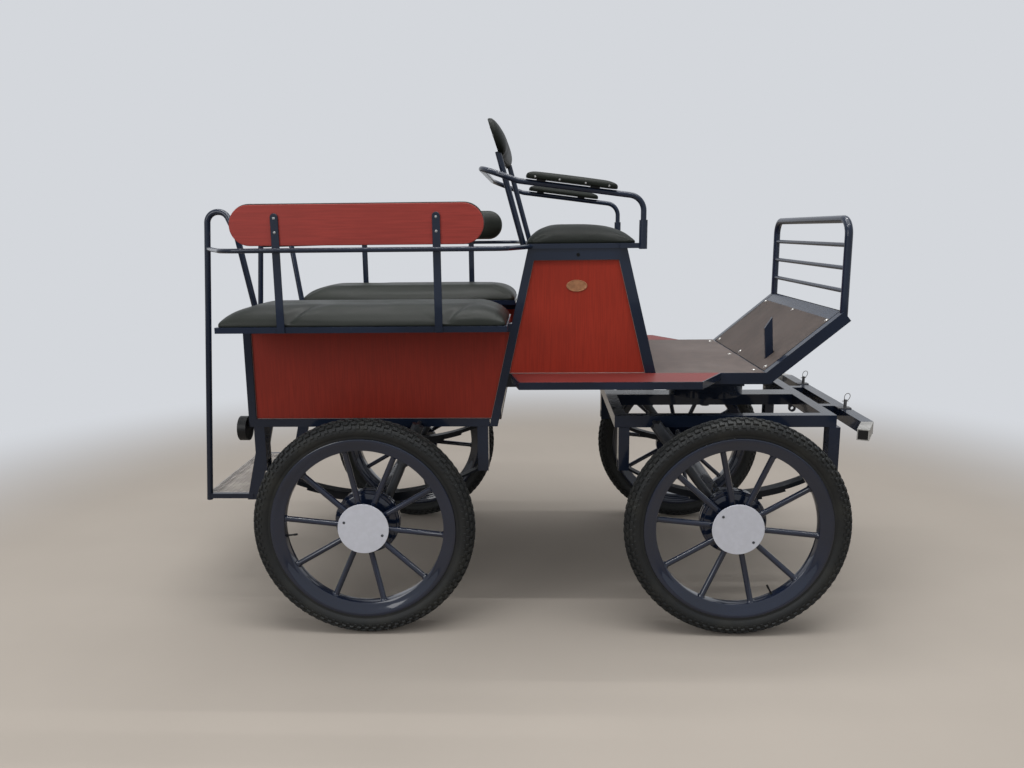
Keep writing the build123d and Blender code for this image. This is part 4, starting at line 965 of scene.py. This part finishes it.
    def cap(self) -> Piece:
        """Build the plain hub cap disc."""
        shape = Shape()
        face = self.hub_out + self.cap_thickness
        edge = 0.0008
        profile = [
            (self.hub_out, 0.004), (self.hub_out, self.cap_radius - edge),
            (self.hub_out + edge, self.cap_radius), (face - edge, self.cap_radius),
            (face, self.cap_radius - edge), (face, 0.004),
        ]
        shape.lathe(profile, self.centre, self.axis, 96)
        return shape.to_object(
            f"cap_disc_{self.name}", CAP_ALUMINIUM, self.body, [f"hub_cap_{self.name}"], "cap_disc", sharp=20
        )

    def bolts(self) -> Piece:
        """Build the cap's two small bolts."""
        shape = Shape()
        for angle in self.bolt_angles:
            face = self.axis * (self.hub_out + self.cap_thickness)
            seat = self.centre + self._spoke(angle) * self.cap_bolt_circle + face
            shape.bolt(seat, self.axis, radius=0.0036, height=0.0026)
        return shape.to_object(f"cap_bolts_{self.name}", DAMPER_GREY, self.body, slot="bright_steel")

    def valve(self) -> Piece:
        """Build the valve stem that stands inward from the rim."""
        shape = Shape()
        spoke = self._spoke(self.valve_angle)
        shape.lathe(self.valve_profile, self.centre, spoke, 12)
        return shape.to_object(f"valve_{self.name}", BLACK_PLASTIC, self.body, slot="tyre")


@dataclass
class Backrests:
    """The benches' two red backrest boards, their flat bars and bolts."""

    bar_half_width: float = 0.013
    bar_thickness: float = 0.006
    bolt_drops: tuple[float, float] = (0.016, 0.062)
    board_thickness: float = 0.012

    def build(self) -> list[Piece]:
        """Build the boards, the bars and the bolts."""
        low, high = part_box("backrest_boards")
        bars_low, bars_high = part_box("backrest_bars")
        middle = (low + high) / 2
        half_length, half_width = (high.x - low.x) / 2, (high.z - low.z) / 2
        boards, bars, bolts = Shape(), Shape(), Shape()
        for _, side in SIDES:
            outer = side * high.y
            outline = [
                Vector((middle.x + u, outer, middle.z + v)) for u, v in stadium(half_length, half_width, 24)
            ]
            boards.prism(outline, Vector((0, -side * self.board_thickness, 0)), 0.0015)
            for distance in BAR_STATIONS:
                x = station(distance)
                bar = self._bar(x, outer, bars_low.z, bars_high.z)
                bars.prism(bar, Vector((0, side * self.bar_thickness, 0)), 0.0012)
                for drop in self.bolt_drops:
                    seat = Vector((x, outer + side * self.bar_thickness, bars_high.z - drop))
                    bolts.bolt(seat, Vector((0, side, 0)), radius=0.0032, height=0.0022)
        return [
            boards.to_object("backrest_red_boards", RED_BACKREST_PAINTED_REFLECTION, ROOT, ["backrest_boards"], "red_board"),
            bars.to_object("backrest_flat_bars", NAVY, ROOT, ["backrest_bars"], "navy_paint"),
            bolts.to_object("backrest_bolts", DULL_ZINC, ROOT, slot="bright_steel"),
        ]

    def _bar(self, x: float, y: float, foot: float, top: float) -> list[Vector]:
        """Give the outline of a flat bar with a half-round top."""
        half = self.bar_half_width
        arch = [math.radians(15 * i) for i in range(13)]
        outline = [Vector((x + half * math.cos(a), y, top - half + half * math.sin(a))) for a in arch]
        return outline + [Vector((x - half, y, foot)), Vector((x + half, y, foot))]


@dataclass
class Seats:
    """The benches' and the driver's cushions, the arm pads, the back pad and their nails."""

    back_tilt: float = 18
    back_thickness: float = 0.040
    arm_rear: tuple[float, float] = (0.588, 1.6347)
    arm_front: tuple[float, float] = (0.907, 1.5916)
    arm_half_width: float = 0.472
    arm_thickness: float = 0.025
    arm_nails: tuple[float, ...] = (0.09, 0.36, 0.65, 0.91)
    arm_nail_out: float = 0.0352
    arm_nail_drop: float = 0.007
    arm_nail_spread: float = 0.97
    arm_blocks: tuple[float, float] = (0.642, 0.829)
    block_drop: float = 0.007
    block_half_width: float = 0.016
    block_height: float = 0.009
    back_half_height: float = 0.070
    back_shift: Point = (0.005, -0.003)
    back_nails: tuple[float, float] = (0.030, 0.002)
    back_nail_bend: float = 0.062
    back_nail_inset: float = 0.064
    back_nail_lift: float = 0.003
    backrest_growth: float = 0.003
    crease_start: float = 0.02
    crease_reach: float = 0.10

    def pads(self) -> list[Pad]:
        """List every stuffed piece."""
        pads = [self._driver(), self._back()]
        for name, side in SIDES:
            pads += [self._bench(name, side), self._arm(name, side), self._backrest(name, side)]
        return pads

    def _driver(self) -> Pad:
        """The domed driver's cushion."""
        low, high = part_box("driver_cushion")
        middle = (low + high) / 2
        return Pad(
            "driver_seat_cushion", Vector((middle.x, 0, low.z)), Vector((1, 0, 0)), Vector((0, 1, 0)),
            (high.x - low.x) / 2, (high.y - low.y) / 2, corner=0.03, side=0.006, crown=0.056,
            end_falls=(0.124, 0.20), side_falls=(0.14, 0.14),
            replaces=("driver_cushion",), finish=DRIVER_VINYL, fill=0.9,
        )

    def _bench(self, name: str, side: int) -> Pad:
        """One long bench cushion, which slopes off toward its rear end."""
        low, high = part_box(f"bench_cushion_{name}")
        middle = (low + high) / 2
        half_width = (high.y - low.y) / 2
        creases = []
        for distance in BAR_STATIONS:
            foot = station(distance) - middle.x
            start = (foot + self.crease_start, side * half_width)
            creases.append((start, (foot + self.crease_reach, side * (half_width - self.crease_reach))))
        return Pad(
            f"bench_seat_cushion_{name}", Vector((middle.x, middle.y, low.z)),
            Vector((1, 0, 0)), Vector((0, 1, 0)), (high.x - low.x) / 2, half_width,
            corner=0.02, side=0.008, crown=0.054,
            end_falls=(0.14, 0.10), side_falls=(0.09, 0.09),
            replaces=(f"bench_cushion_{name}",), fill=0.8, creases=tuple(creases),
        )

    def _back(self) -> Pad:
        """The driver's back pad, fullest low down."""
        low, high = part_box("back_pad")
        tilt = math.radians(self.back_tilt)
        normal = Vector((math.cos(tilt), 0, math.sin(tilt)))
        rise = Vector((-math.sin(tilt), 0, math.cos(tilt)))
        origin = (low + high) / 2 - normal * (self.back_thickness / 2)
        return Pad(
            "driver_back_pad", Vector((origin.x + self.back_shift[0], 0, origin.z + self.back_shift[1])),
            Vector((0, 1, 0)), rise, (high.y - low.y) / 2, self.back_half_height,
            corner=0.065, side=0.007, crown=0.033,
            end_falls=(0.09, 0.09), side_falls=(0.045, 0.10),
            replaces=("back_pad",), finish=DRIVER_VINYL, swell=0.004, fill=0.9,
        )

    def _arm_line(self) -> tuple[Vector, Vector]:
        """The middle of an arm pad's centreline and its direction, in X and Z."""
        rear = Vector((station(self.arm_rear[0]), 0, self.arm_rear[1]))
        front = Vector((station(self.arm_front[0]), 0, self.arm_front[1]))
        return (rear + front) / 2, front - rear

    def _arm(self, name: str, side: int) -> Pad:
        """One arm pad, along the bow."""
        middle, run = self._arm_line()
        along = run.normalized()
        across = Vector((0, 1, 0))
        out = along.cross(across)
        origin = middle + Vector((0, side * self.arm_half_width, 0)) - out * (self.arm_thickness / 2)
        return Pad(
            f"arm_rest_pad_{name}", origin, along, across, run.length / 2, 0.035, corner=0.033,
            side=0.009, crown=0.016, end_falls=(0.035, 0.05), side_falls=(0.032, 0.032),
            replaces=("arm_pads",), finish=DRIVER_VINYL, swell=0.003, fill=0.9,
        )

    def _backrest(self, name: str, side: int) -> Pad:
        """One backrest pad on the inner face of its board."""
        low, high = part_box("backrest_pads")
        middle = (low + high) / 2
        return Pad(
            f"backrest_pad_{name}", Vector((middle.x, side * high.y, middle.z + self.backrest_growth)),
            Vector((side, 0, 0)), UP,
            (high.x - low.x) / 2 + self.backrest_growth, (high.z - low.z) / 2 + self.backrest_growth,
            corner=0.066, side=0.012, crown=0.028, end_falls=(0.07, 0.07),
            side_falls=(0.06, 0.06), replaces=("backrest_pads",), swell=0.005, fill=0.9,
        )

    def build(self) -> list[Piece]:
        """Stuff the pads, then add the arm pads' blocks and the nails."""
        pads = self.pads()
        made = Upholstery(pads).build()
        nails, blocks = Shape(), Shape()
        self._fit_arms(nails, blocks)
        self._nail_back(nails, next(pad for pad in pads if pad.name == "driver_back_pad"))
        return made + [
            nails.to_object("upholstery_nails", DULL_ZINC, ROOT, slot="bright_steel"),
            blocks.to_object("arm_pad_blocks", BLACK_PLASTIC, ROOT, ["arm_pads"], "navy_paint"),
        ]

    def _fit_arms(self, nails: Shape, blocks: Shape) -> None:
        """Nail the outer edges of the arm pads and add the blocks under them."""
        middle, run = self._arm_line()
        along = run.normalized()
        up = along.cross(Vector((0, 1, 0)))
        half = self.block_half_width
        for _, side in SIDES:
            edge = middle + Vector((0, side * (self.arm_half_width + self.arm_nail_out), 0))
            edge -= up * self.arm_nail_drop
            for share in self.arm_nails:
                spot = edge + run * (share - 0.5) * self.arm_nail_spread
                nails.bolt(spot, Vector((0, side, 0)), radius=0.0026, height=0.0018)
            for distance in self.arm_blocks:
                under = middle + along * ((station(distance) - middle.x) / along.x)
                under -= up * (self.arm_thickness / 2 + self.block_drop)
                foot = under + Vector((0, side * self.arm_half_width, 0))
                outline = [foot + along * (a * half) + Vector((0, b * half, 0)) for a, b in SQUARE]
                blocks.prism(outline, up * self.block_height, 0.001)

    def _nail_back(self, nails: Shape, back: Pad) -> None:
        """Nail the back pad's rounded ends."""
        for _, side in SIDES:
            for rise in self.back_nails:
                bend = math.sqrt(self.back_nail_bend**2 - rise**2)
                along = side * (back.half_length - self.back_nail_inset + bend)
                spot = back.at(along, rise, self.back_nail_lift)
                nails.bolt(spot, Vector((0, side, 0)), radius=0.0032, height=0.002)


@dataclass
class Platform:
    """The bolts of the driver's floor and footboard, and painted shade in the gap round the footboard."""

    slope_start: tuple[float, float] = (1.453, 0.927)
    slope_end: tuple[float, float] = (1.717, 1.146)
    slope_rows: tuple[tuple[float, float], ...] = ((0.018, 0.385), (0.288, 0.400))
    floor_row: tuple[float, float] = (1.425, 0.390)
    bolt_size: Point = (0.0065, 0.0035)
    shade_strip_width: float = 0.0013
    shade_strip_height: float = 0.0006

    def build(self) -> list[Piece]:
        """Build the pan-head bolts and the painted shade of the gap."""
        shape = Shape()
        start = Vector((station(self.slope_start[0]), 0, self.slope_start[1]))
        end = Vector((station(self.slope_end[0]), 0, self.slope_end[1]))
        run = (end - start).normalized()
        out = Vector((-run.z, 0, run.x))
        for distance, half_width in self.slope_rows:
            for across in (-half_width, 0, half_width):
                shape.bolt(start + run * distance + Vector((0, across, 0)), out, *self.bolt_size)
        x, half_width = self.floor_row
        for across in (-half_width, 0, half_width):
            shape.bolt(Vector((station(x), across, self.slope_start[1])), UP, *self.bolt_size)
        return [
            shape.to_object("floor_bolts", ZINC, ROOT, slot="bright_steel"),
            self.gaps(start, run, out, (end - start).length),
        ]

    def gaps(self, start: Vector, run: Vector, out: Vector, length: float) -> Piece:
        """Draw painted shade: narrow dark strips along the gap round the footboard's plywood.

        Args:
            start: the middle of its lower edge.
            run: the way up the board.
            out: the way that it faces.
            length: its length up the slope.

        Returns:
            The strips.
        """
        shape = Shape()
        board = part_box("footboard")
        half_width = (board[1].y - board[0].y) / 2
        corners = [(0.001, -half_width), (length, -half_width), (length, half_width), (0.001, half_width)]
        for (r0, y0), (r1, y1) in zip(corners, corners[1:] + corners[:1]):
            first, last = start + run * r0 + Vector((0, y0, 0)), start + run * r1 + Vector((0, y1, 0))
            way = (last - first).normalized()
            wide = out.cross(way) * self.shade_strip_width
            # Painted shade: a thin black strip lies where the gap's shade falls.
            shape.prism([first - wide, last - wide, last + wide, first + wide], out * self.shade_strip_height, 0.0001)
        return shape.to_object("footboard_gap_painted_shade", SHADE_BLACK, ROOT, slot="navy_paint")


@dataclass
class PanelSeams:
    """Thin light grey beads where the red side panels meet their frames."""

    bead: float = 0.0014
    face_tolerance: float = 0.001
    nodes: tuple[str, ...] = ("box_side_panels", "rear_side_panels")

    def build(self) -> list[Piece]:
        """Run a bead round the outer face of each panel."""
        shape = Shape()
        for node in self.nodes:
            points = [point.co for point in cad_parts[node].data.vertices]
            face = max(abs(point.y) for point in points)
            tolerance = self.face_tolerance
            rim = hull([(point.x, point.z) for point in points if abs(point.y) > face - tolerance])
            for _, side in SIDES:
                ring = [Vector((x, side * face, z)) for x, z in rim]
                for first, last in zip(ring, ring[1:] + ring[:1]):
                    # A thin light grey bead runs along each panel edge.
                    shape.tube([first, last], self.bead, 6)
        return [shape.to_object("panel_edge_beads", SEAM, ROOT, slot="red_board")]


def hull(points: Iterable[Point], least_turn: float = 1e-7) -> list[Point]:
    """Give the corners of the smallest convex outline round some points.

    Args:
        points: the points, which are rounded to a tenth of a millimetre.
        least_turn: how much three points have to turn to make a corner.

    Returns:
        The corners in order.
    """
    rounded = sorted({(round(x, 4), round(y, 4)) for x, y in points})
    corners: list[Point] = []
    for ordered in (rounded, rounded[::-1]):
        chain: list[Point] = []
        for spot in ordered:
            while len(chain) > 1 and turn_of(chain[-2], chain[-1], spot) <= least_turn:
                chain.pop()
            chain.append(spot)
        corners += chain[:-1]
    return corners


def turn_of(first: Point, second: Point, third: Point) -> float:
    """Give a number above 0 where three points turn left."""
    return (second[0] - first[0]) * (third[1] - first[1]) - (second[1] - first[1]) * (third[0] - first[0])


@dataclass
class DriverBox:
    """The badge plates on the driver's box, and a dark disc that paints the shade of the small hole above
    them.
    """

    badge_station: float = 0.767
    badge_height: float = 1.245
    badge_half: tuple[float, float] = (0.0375, 0.021)
    badge_thickness: float = 0.003
    badge_rings: tuple[Point, ...] = (
        (1.0, -0.0005), (1.0, 0.0022), (0.965, 0.003), (0.90, 0.003), (0.87, 0.0022), (0.5, 0.0022),
    )
    hole: Point = (0.771, 1.355)
    hole_out: float = 0.4497
    hole_shade_profile: tuple[Point, ...] = ((0.0, 0.0065), (0.0008, 0.0065), (0.0008, 0.001))

    def build(self) -> list[Piece]:
        """Build the blank oval badges and the painted shade of the holes."""
        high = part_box("badge_plates")[1]
        badges, hole_shades = Shape(), Shape()
        for _, side in SIDES:
            out = Vector((0, side, 0))
            back = side * (high.y - self.badge_thickness)
            centre = Vector((station(self.badge_station), back, self.badge_height))
            badges.skin([self._oval(centre + out * rise, share) for share, rise in self.badge_rings])
            seat = Vector((station(self.hole[0]), side * self.hole_out, self.hole[1]))
            # Painted shade: a thin black disc on the frame stands for the dark inside of the hole.
            hole_shades.lathe(self.hole_shade_profile, seat, out, 20)
        return [
            badges.to_object("blank_badges", BADGE, ROOT, ["badge_plates"], "badge", sharp=40),
            hole_shades.to_object("frame_hole_painted_shade", SHADE_BLACK, ROOT, slot="navy_paint"),
        ]

    def _oval(self, centre: Vector, share: float) -> list[Vector]:
        """Give an upright oval at a share of the badge's size."""
        width, height = self.badge_half[0] * share, self.badge_half[1] * share
        return [centre + Vector((width * math.cos(t), 0, height * math.sin(t))) for t in circle(48)]


@dataclass
class RearEnd:
    """The step's expanded mesh, the rear lamps' lenses and small bolts."""

    strand: float = 0.0032
    thick_layer: float = 0.30
    thin_layer: float = 0.18
    pitch: float = 0.017
    border: float = 0.006
    lean: float = 0.5
    lamp_radius: float = 0.046
    lens_foot: Point = (-0.001, 0.0432)
    lens_radius: float = 0.0425
    lens_ribs: int = 7
    rib_pitch: float = 0.0058
    rib_heights: tuple[float, float] = (0.0006, 0.0016)
    rib_rise: float = 0.0004
    leg_top: Point = (-0.435, 0.728)
    leg_foot: Point = (-0.512, 0.394)
    leg_out: float = 0.306
    leg_bolts: tuple[float, float] = (0.55, 0.16)

    def build(self) -> list[Piece]:
        """Build the mesh, the lenses and the bolts."""
        return [self.mesh(), self.lenses(), self.bolts()]

    def mesh(self) -> Piece:
        """Build the expanded mesh of the step."""
        low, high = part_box("step_mesh")
        shape = Shape()
        edge = self.border
        for x0, x1, y0, y1 in (
            (low.x, high.x, low.y, low.y + edge),
            (low.x, high.x, high.y - edge, high.y),
            (low.x, low.x + edge, low.y + edge, high.y - edge),
            (high.x - edge, high.x, low.y + edge, high.y - edge),
        ):
            shape.slab((x0, y0, low.z), (x1, y1, high.z), 0.0006)
        width, length = high.x - low.x, high.y - low.y
        reach = length + width * self.lean
        for number in range(int(reach / self.pitch) + 1):
            first = -length / 2 - width * self.lean / 2 + self.pitch * (number + 0.5)
            for way in (-1, 1):
                ends = [(s * width / 2, first + way * s * width * self.lean / 2) for s in (-1, 1)]
                strand = clip_to(ends, length / 2 - edge)
                if strand:
                    self._strand(shape, (low + high) / 2, strand, high.z - low.z, way)
        return shape.to_object("step_expanded_mesh", STEP_ZINC, ROOT, ["step_mesh"], "step_mesh")

    def _strand(self, shape: Shape, middle: Vector, ends: list[Point], depth: float, way: int) -> None:
        """Add one slanting strand of the mesh."""
        first, last = (Vector((middle.x + x, middle.y + y, middle.z)) for x, y in ends)
        run = (last - first).normalized()
        side = Vector((-run.y, run.x, 0)) * (self.strand / 2)
        lift = Vector((0, 0, depth * (self.thick_layer if way > 0 else self.thin_layer)))
        outline = [first - side - lift, last - side - lift, last + side - lift, first + side - lift]
        shape.prism(outline, lift * 2, 0.0005)

    def lenses(self) -> Piece:
        """Build the rear lamps' ribbed red lenses."""
        low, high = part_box("rear_lamps")
        shape = Shape()
        for _, side in SIDES:
            centre = Vector((low.x, side * (high.y - self.lamp_radius), high.z - self.lamp_radius))
            rings = [self.lens_foot]
            for k in range(self.lens_ribs):
                low_edge, high_edge = (height + self.rib_rise * k for height in self.rib_heights)
                radius = self.lens_radius - self.rib_pitch * k
                rings += [(low_edge, radius), (high_edge, radius - self.rib_pitch / 2)]
            shape.lathe(rings, centre, Vector((-1, 0, 0)), 40)
        return shape.to_object("rear_lamp_lenses", RED_LENS, ROOT, slot="lamp")

    def bolts(self) -> Piece:
        """Build the bolts on the step's legs."""
        shape = Shape()
        top, foot = Vector(self.leg_top), Vector(self.leg_foot)
        for _, side in SIDES:
            for share in self.leg_bolts:
                distance, height = top.lerp(foot, share)
                seat = Vector((station(distance), side * self.leg_out, height))
                shape.bolt(seat, Vector((0, side, 0)), radius=0.006, height=0.004)
        return shape.to_object("step_bolts", ZINC, ROOT, slot="bright_steel")


def clip_to(ends: Sequence[Point], limit: float, shortest: float = 0.03) -> list[Point] | None:
    """Cut a slanting line to the places whose second coordinate is within a limit.

    Args:
        ends: its two ends.
        limit: the limit on both sides of zero.
        shortest: the least share of the line that is worth keeping.

    Returns:
        The two new ends, or None where nothing is left.
    """
    (x0, y0), (x1, y1) = ends
    shares = [(edge - y0) / (y1 - y0) for edge in (-limit, limit)]
    start, stop = max(0.0, min(shares)), min(1.0, max(shares))
    if stop - start < shortest:
        return None
    return [(x0 + (x1 - x0) * s, y0 + (y1 - y0) * s) for s in (start, stop)]


@dataclass
class RunningGear:
    """Nuts on the spring clamps, wire clips on the trace pins, and painted shade in the bar's open ends."""

    spring_half_track: float = 0.420
    clamp_top: float = 0.4760
    stud_along: float = 0.032
    stud_across: float = 0.0278
    nut_profile: tuple[Point, ...] = ((0.0, 0.0090), (0.0010, 0.0095), (0.0080, 0.0095), (0.0090, 0.0088))
    stud_profile: tuple[Point, ...] = ((0.0, 0.005), (0.014, 0.005), (0.0148, 0.0042))
    pin_station: float = 1.819
    pin_half_width: float = 0.253
    pin_top: float = 0.784
    clip_lean: float = 20
    clip_drop: float = 0.006
    clip_half_width: float = 0.012
    clip_half_height: float = 0.016
    wire_radius: float = 0.0012
    tip_length: float = 0.022
    shade_plate_rim: float = 0.0035

    def build(self) -> list[Piece]:
        """Build the nuts, clips and plugs."""
        return [
            self.nuts("rear_clamp_nuts", 0.0, ROOT),
            self.nuts("front_clamp_nuts", FRONT_AXLE_X - REAR_AXLE_X, "undercarriage"),
            self.clips(),
            self.bar_end_shades(),
        ]

    def bar_end_shades(self) -> Piece:
        """Build painted shade: dark plates in the open ends of the splinter bar's swept ends."""
        shape = Shape()
        points = [point.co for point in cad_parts["bar_end_caps"].data.vertices]
        for _, side in SIDES:
            own = [point for point in points if point.y * side > 0]
            reach = max(point.y * side for point in own)
            tip = [point for point in own if point.y * side > reach - self.tip_length]
            inner = min(tip, key=lambda point: point.x)
            outer = max(tip, key=lambda point: point.x)
            low, high = (Vector((end.x, end.y, 0)) for end in (inner, outer))
            run = (high - low).normalized()
            out = Vector((-run.y, run.x, 0))
            out = out if out.y * side > 0 else -out
            near, far = low + run * self.shade_plate_rim, high - run * self.shade_plate_rim
            bottom = min(point.z for point in tip) + self.shade_plate_rim
            top = max(point.z for point in tip) - self.shade_plate_rim
            places = ((near, bottom), (far, bottom), (far, top), (near, top))
            outline = [Vector((*end.xy, height)) - out * 0.001 for end, height in places]
            # Painted shade: a black plate at each open end stands for the shade inside the tube.
            shape.prism(outline, out * 0.0016, 0.0004)
        return shape.to_object("bar_end_painted_shade", BLACK_PLASTIC, "undercarriage", slot="navy_paint")

    def nuts(self, name: str, axle: float, body: str) -> Piece:
        """Build hexagon nuts on one axle's spring clamps."""
        shape = Shape()
        for _, side in SIDES:
            for along, across in product((-1, 1), repeat=2):
                x = station(axle) + along * self.stud_along
                y = side * self.spring_half_track + across * self.stud_across
                seat = Vector((x, y, self.clamp_top))
                shape.lathe(self.nut_profile, seat, UP, 6)
                shape.lathe(self.stud_profile, seat, UP, 12)
        return shape.to_object(name, DAMPER_GREY, body, slot="bright_steel", sharp=20)

    def clips(self) -> Piece:
        """Build the sprung wire loop through each trace pin."""
        shape = Shape()
        half_width, half_height = self.clip_half_width, self.clip_half_height
        lean = math.radians(self.clip_lean)
        up = Vector((math.sin(lean), 0, math.cos(lean)))
        along = Vector((math.cos(lean), 0, -math.sin(lean)))
        for _, side in SIDES:
            hole = (station(self.pin_station), side * self.pin_half_width, self.pin_top - self.clip_drop)
            foot = Vector(hole)
            path = []
            for i in range(33):
                turn = math.radians(-90 + 360 * i / 32)
                narrow = 0.45 + 0.55 * math.sqrt((1 + math.sin(turn)) / 2)
                aside = along * (half_width * math.cos(turn) * narrow)
                path.append(foot + aside + up * (half_height + half_height * math.sin(turn)))
            shape.tube(path, self.wire_radius, 8)
            shape.tube([foot + Vector((x, 0, 0)) for x in (-half_width, half_width)], self.wire_radius, 8)
        return shape.to_object("pin_clips", CLIP_WIRE, "undercarriage", slot="bright_steel")


@dataclass
class CadFinishes:
    """The finishes of the CAD nodes that show as they are."""

    table: tuple[tuple[Finish, tuple[str, ...]], ...] = (
        (
            NAVY,
            (
                "floor_frame", "footboard_frame", "brake_pedal", "dash_rail", "box_frame", "seat_base",
                "arm_sockets", "armrest_bow", "well_front_wall", "rear_frame", "bench_frames",
                "entry_handles", "rear_step", "guard_rails", "undercarriage_frame", "splinter_bar",
                "turntable_upper", "turntable_lower", "rear_axle", "front_axle",
            ),
        ),
        (RED_BOX, ("box_side_panels", "box_end_panels")),
        (RED_REAR_PAINTED_SHADE, ("rear_side_panels",)),
        (RED_LEDGE, ("ledge_boards",)),
        (PLYWOOD, ("floor_board", "well_floor")),
        (SLOPE_PLYWOOD, ("footboard",)),
        (SPRING_STEEL, ("rear_springs", "front_springs")),
        (DAMPER_GREY, ("rear_dampers", "front_dampers")),
        (END_CAP, ("bar_end_caps",)),
        (PIN_STEEL, ("trace_pins",)),
        (BLACK_PLASTIC, ("rear_lamps",)),
    )

    def build(self) -> list[Piece]:
        """Dress each node in its finish."""
        dressed = []
        for finish, names in self.table:
            for name in names:
                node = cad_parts[name]
                node.data.materials.clear()
                node.data.materials.append(material(finish))
                node.data.polygons.foreach_set("use_smooth", [True] * len(node.data.polygons))
                node.data.set_sharp_from_angle(angle=math.radians(30))
                dressed.append(node)
        return dressed


@dataclass
class Studio:
    """A plain floor that fades into a pale backdrop, soft light, and the camera."""

    backdrop: Colour = tone(212, 215, 220)
    ground: Colour = tone(169, 161, 152)
    sky_strength: float = 0.5
    camera_spot: tuple[float, float, float] = (0.0613, -3.377, 1.445)
    pitch: float = 10.766
    yaw: float = -1.924
    roll: float = -0.5795
    focal_pixels: float = 811.59
    picture_width: float = 1024
    floor_radius: float = 14
    fade: Point = (2.3, 4.6)

    def build(self) -> None:
        """Build the stage, the lamps and the camera."""
        self.world()
        self.floor()
        self.lamp("ceiling_light", (0.3, -0.6, 4.6), (0, 0, 0.6), (4.2, 4.2), 150)
        self.lamp("window_light", (-3.6, -4.6, 3.0), (0, 0, 0.8), (2.6, 2.6), 80)
        for number, y in enumerate((-1.6, 0.5)):
            self.lamp(f"strip_light_{number}", (0.2, y, 4.1), (0.2, y * 0.9, 0), (4.4, 0.05), 36)
        self.camera()

    def world(self) -> None:
        """Light the scene evenly, and show the pale backdrop behind it."""
        world = bpy.data.worlds.new("pale_room")
        bpy.context.scene.world = world
        recipe = Recipe(world)
        rays = ("Is Camera Ray", "Is Glossy Ray", "Is Transmission Ray")
        camera, glossy, through = (recipe.node("ShaderNodeLightPath", output=ray) for ray in rays)
        shown = recipe.node("ShaderNodeBackground", inputs={"Color": self.backdrop, "Strength": 1.0})
        even = {"Color": (1, 1, 1, 1), "Strength": self.sky_strength}
        soft = recipe.node("ShaderNodeBackground", inputs=even)
        both = recipe.node("ShaderNodeMixShader", inputs={0: camera + glossy + through, 1: soft, 2: shown})
        recipe.tree.links.new(both.socket, recipe.tree.nodes["World Output"].inputs["Surface"])

    def floor(self) -> None:
        """Lay the floor, which fades into the backdrop away from the carriage."""
        radius, count = self.floor_radius, 64
        mesh = bpy.data.meshes.new("studio_floor")
        rim = [(radius * math.cos(t), radius * math.sin(t), 0) for t in circle(count)]
        mesh.from_pydata(rim, [], [range(count)])
        made = bpy.data.objects.new("studio_floor", mesh)
        bpy.context.scene.collection.objects.link(made)
        recipe = Recipe(bpy.data.materials.new("pale_floor"))
        spot = recipe.node("ShaderNodeTexCoord", output="Object")
        away = recipe.node("ShaderNodeVectorMath", {"operation": "LENGTH"}, {0: spot}, output="Value")
        clouds = recipe.noise(1.6, 5)
        shade = recipe.mix(clouds, shaded(self.ground, 0.9), self.ground)
        recipe.surface({"Base Color": shade, "Roughness": 0.85, "Specular IOR Level": 0.2})
        glow = recipe.node("ShaderNodeEmission", inputs={"Color": self.backdrop, "Strength": 1.0})
        camera_ray = recipe.node("ShaderNodeLightPath", output="Is Camera Ray")
        plain = Value(recipe, recipe.tree.nodes["Principled BSDF"].outputs[0])
        share = away.ramp(*self.fade) * camera_ray
        fade = recipe.node("ShaderNodeMixShader", inputs={0: share, 1: plain, 2: glow})
        recipe.tree.links.new(fade.socket, recipe.tree.nodes["Material Output"].inputs["Surface"])
        mesh.materials.append(recipe.owner)

    def lamp(self, name: str, spot: Sequence[float], aim: Sequence[float], size: Point, power: float) -> None:
        """Hang one soft lamp.

        Args:
            name: its name.
            spot: where it hangs.
            aim: the point it faces.
            size: its two sides.
            power: its power in watts.
        """
        data = bpy.data.lights.new(name, "AREA")
        data.shape = "RECTANGLE"
        data.size, data.size_y = size
        data.energy = power
        made = bpy.data.objects.new(name, data)
        made.location = spot
        made.rotation_euler = (Vector(aim) - Vector(spot)).to_track_quat("-Z", "Y").to_euler()
        bpy.context.scene.collection.objects.link(made)

    def camera(self) -> None:
        """Stand the camera where the photograph was taken."""
        data = bpy.data.cameras.new("camera")
        data.sensor_width = 36
        data.lens = self.focal_pixels / self.picture_width * data.sensor_width
        made = bpy.data.objects.new("camera", data)
        pitch, yaw, roll = (math.radians(a) for a in (self.pitch, self.yaw, self.roll))
        ahead = Vector((math.sin(yaw) * math.cos(pitch), math.cos(yaw) * math.cos(pitch), -math.sin(pitch)))
        level = Vector((math.cos(yaw), -math.sin(yaw), 0))
        above = level.cross(ahead)
        right = level * math.cos(roll) + above * math.sin(roll)
        up = above * math.cos(roll) - level * math.sin(roll)
        axes = Matrix((right, up, -ahead)).transposed().to_4x4()
        made.matrix_world = Matrix.Translation(self.camera_spot) @ axes
        bpy.context.scene.collection.objects.link(made)
        bpy.context.scene.camera = made


def main() -> None:
    """Build the carriage's looks and the studio round its frame."""
    logging.basicConfig(level=logging.INFO, format="%(message)s")
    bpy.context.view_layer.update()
    bpy.context.scene.view_settings.view_transform = "Standard"
    Studio().build()
    assemblies = [
        CadFinishes(),
        Wheel("front_right", -1, (139, -41), -62),
        Wheel("front_left", 1, (139, -41), -62),
        Wheel("rear_right", -1, (161, -20), 187),
        Wheel("rear_left", 1, (161, -20), 187),
        Backrests(),
        Platform(),
        PanelSeams(),
        DriverBox(),
        RearEnd(),
        RunningGear(),
        Seats(),
    ]
    for assembly in assemblies:
        for piece in assembly.build():
            LOG.info("%s: %s", type(assembly).__name__, piece.name)


if __name__ == "__main__":
    main()
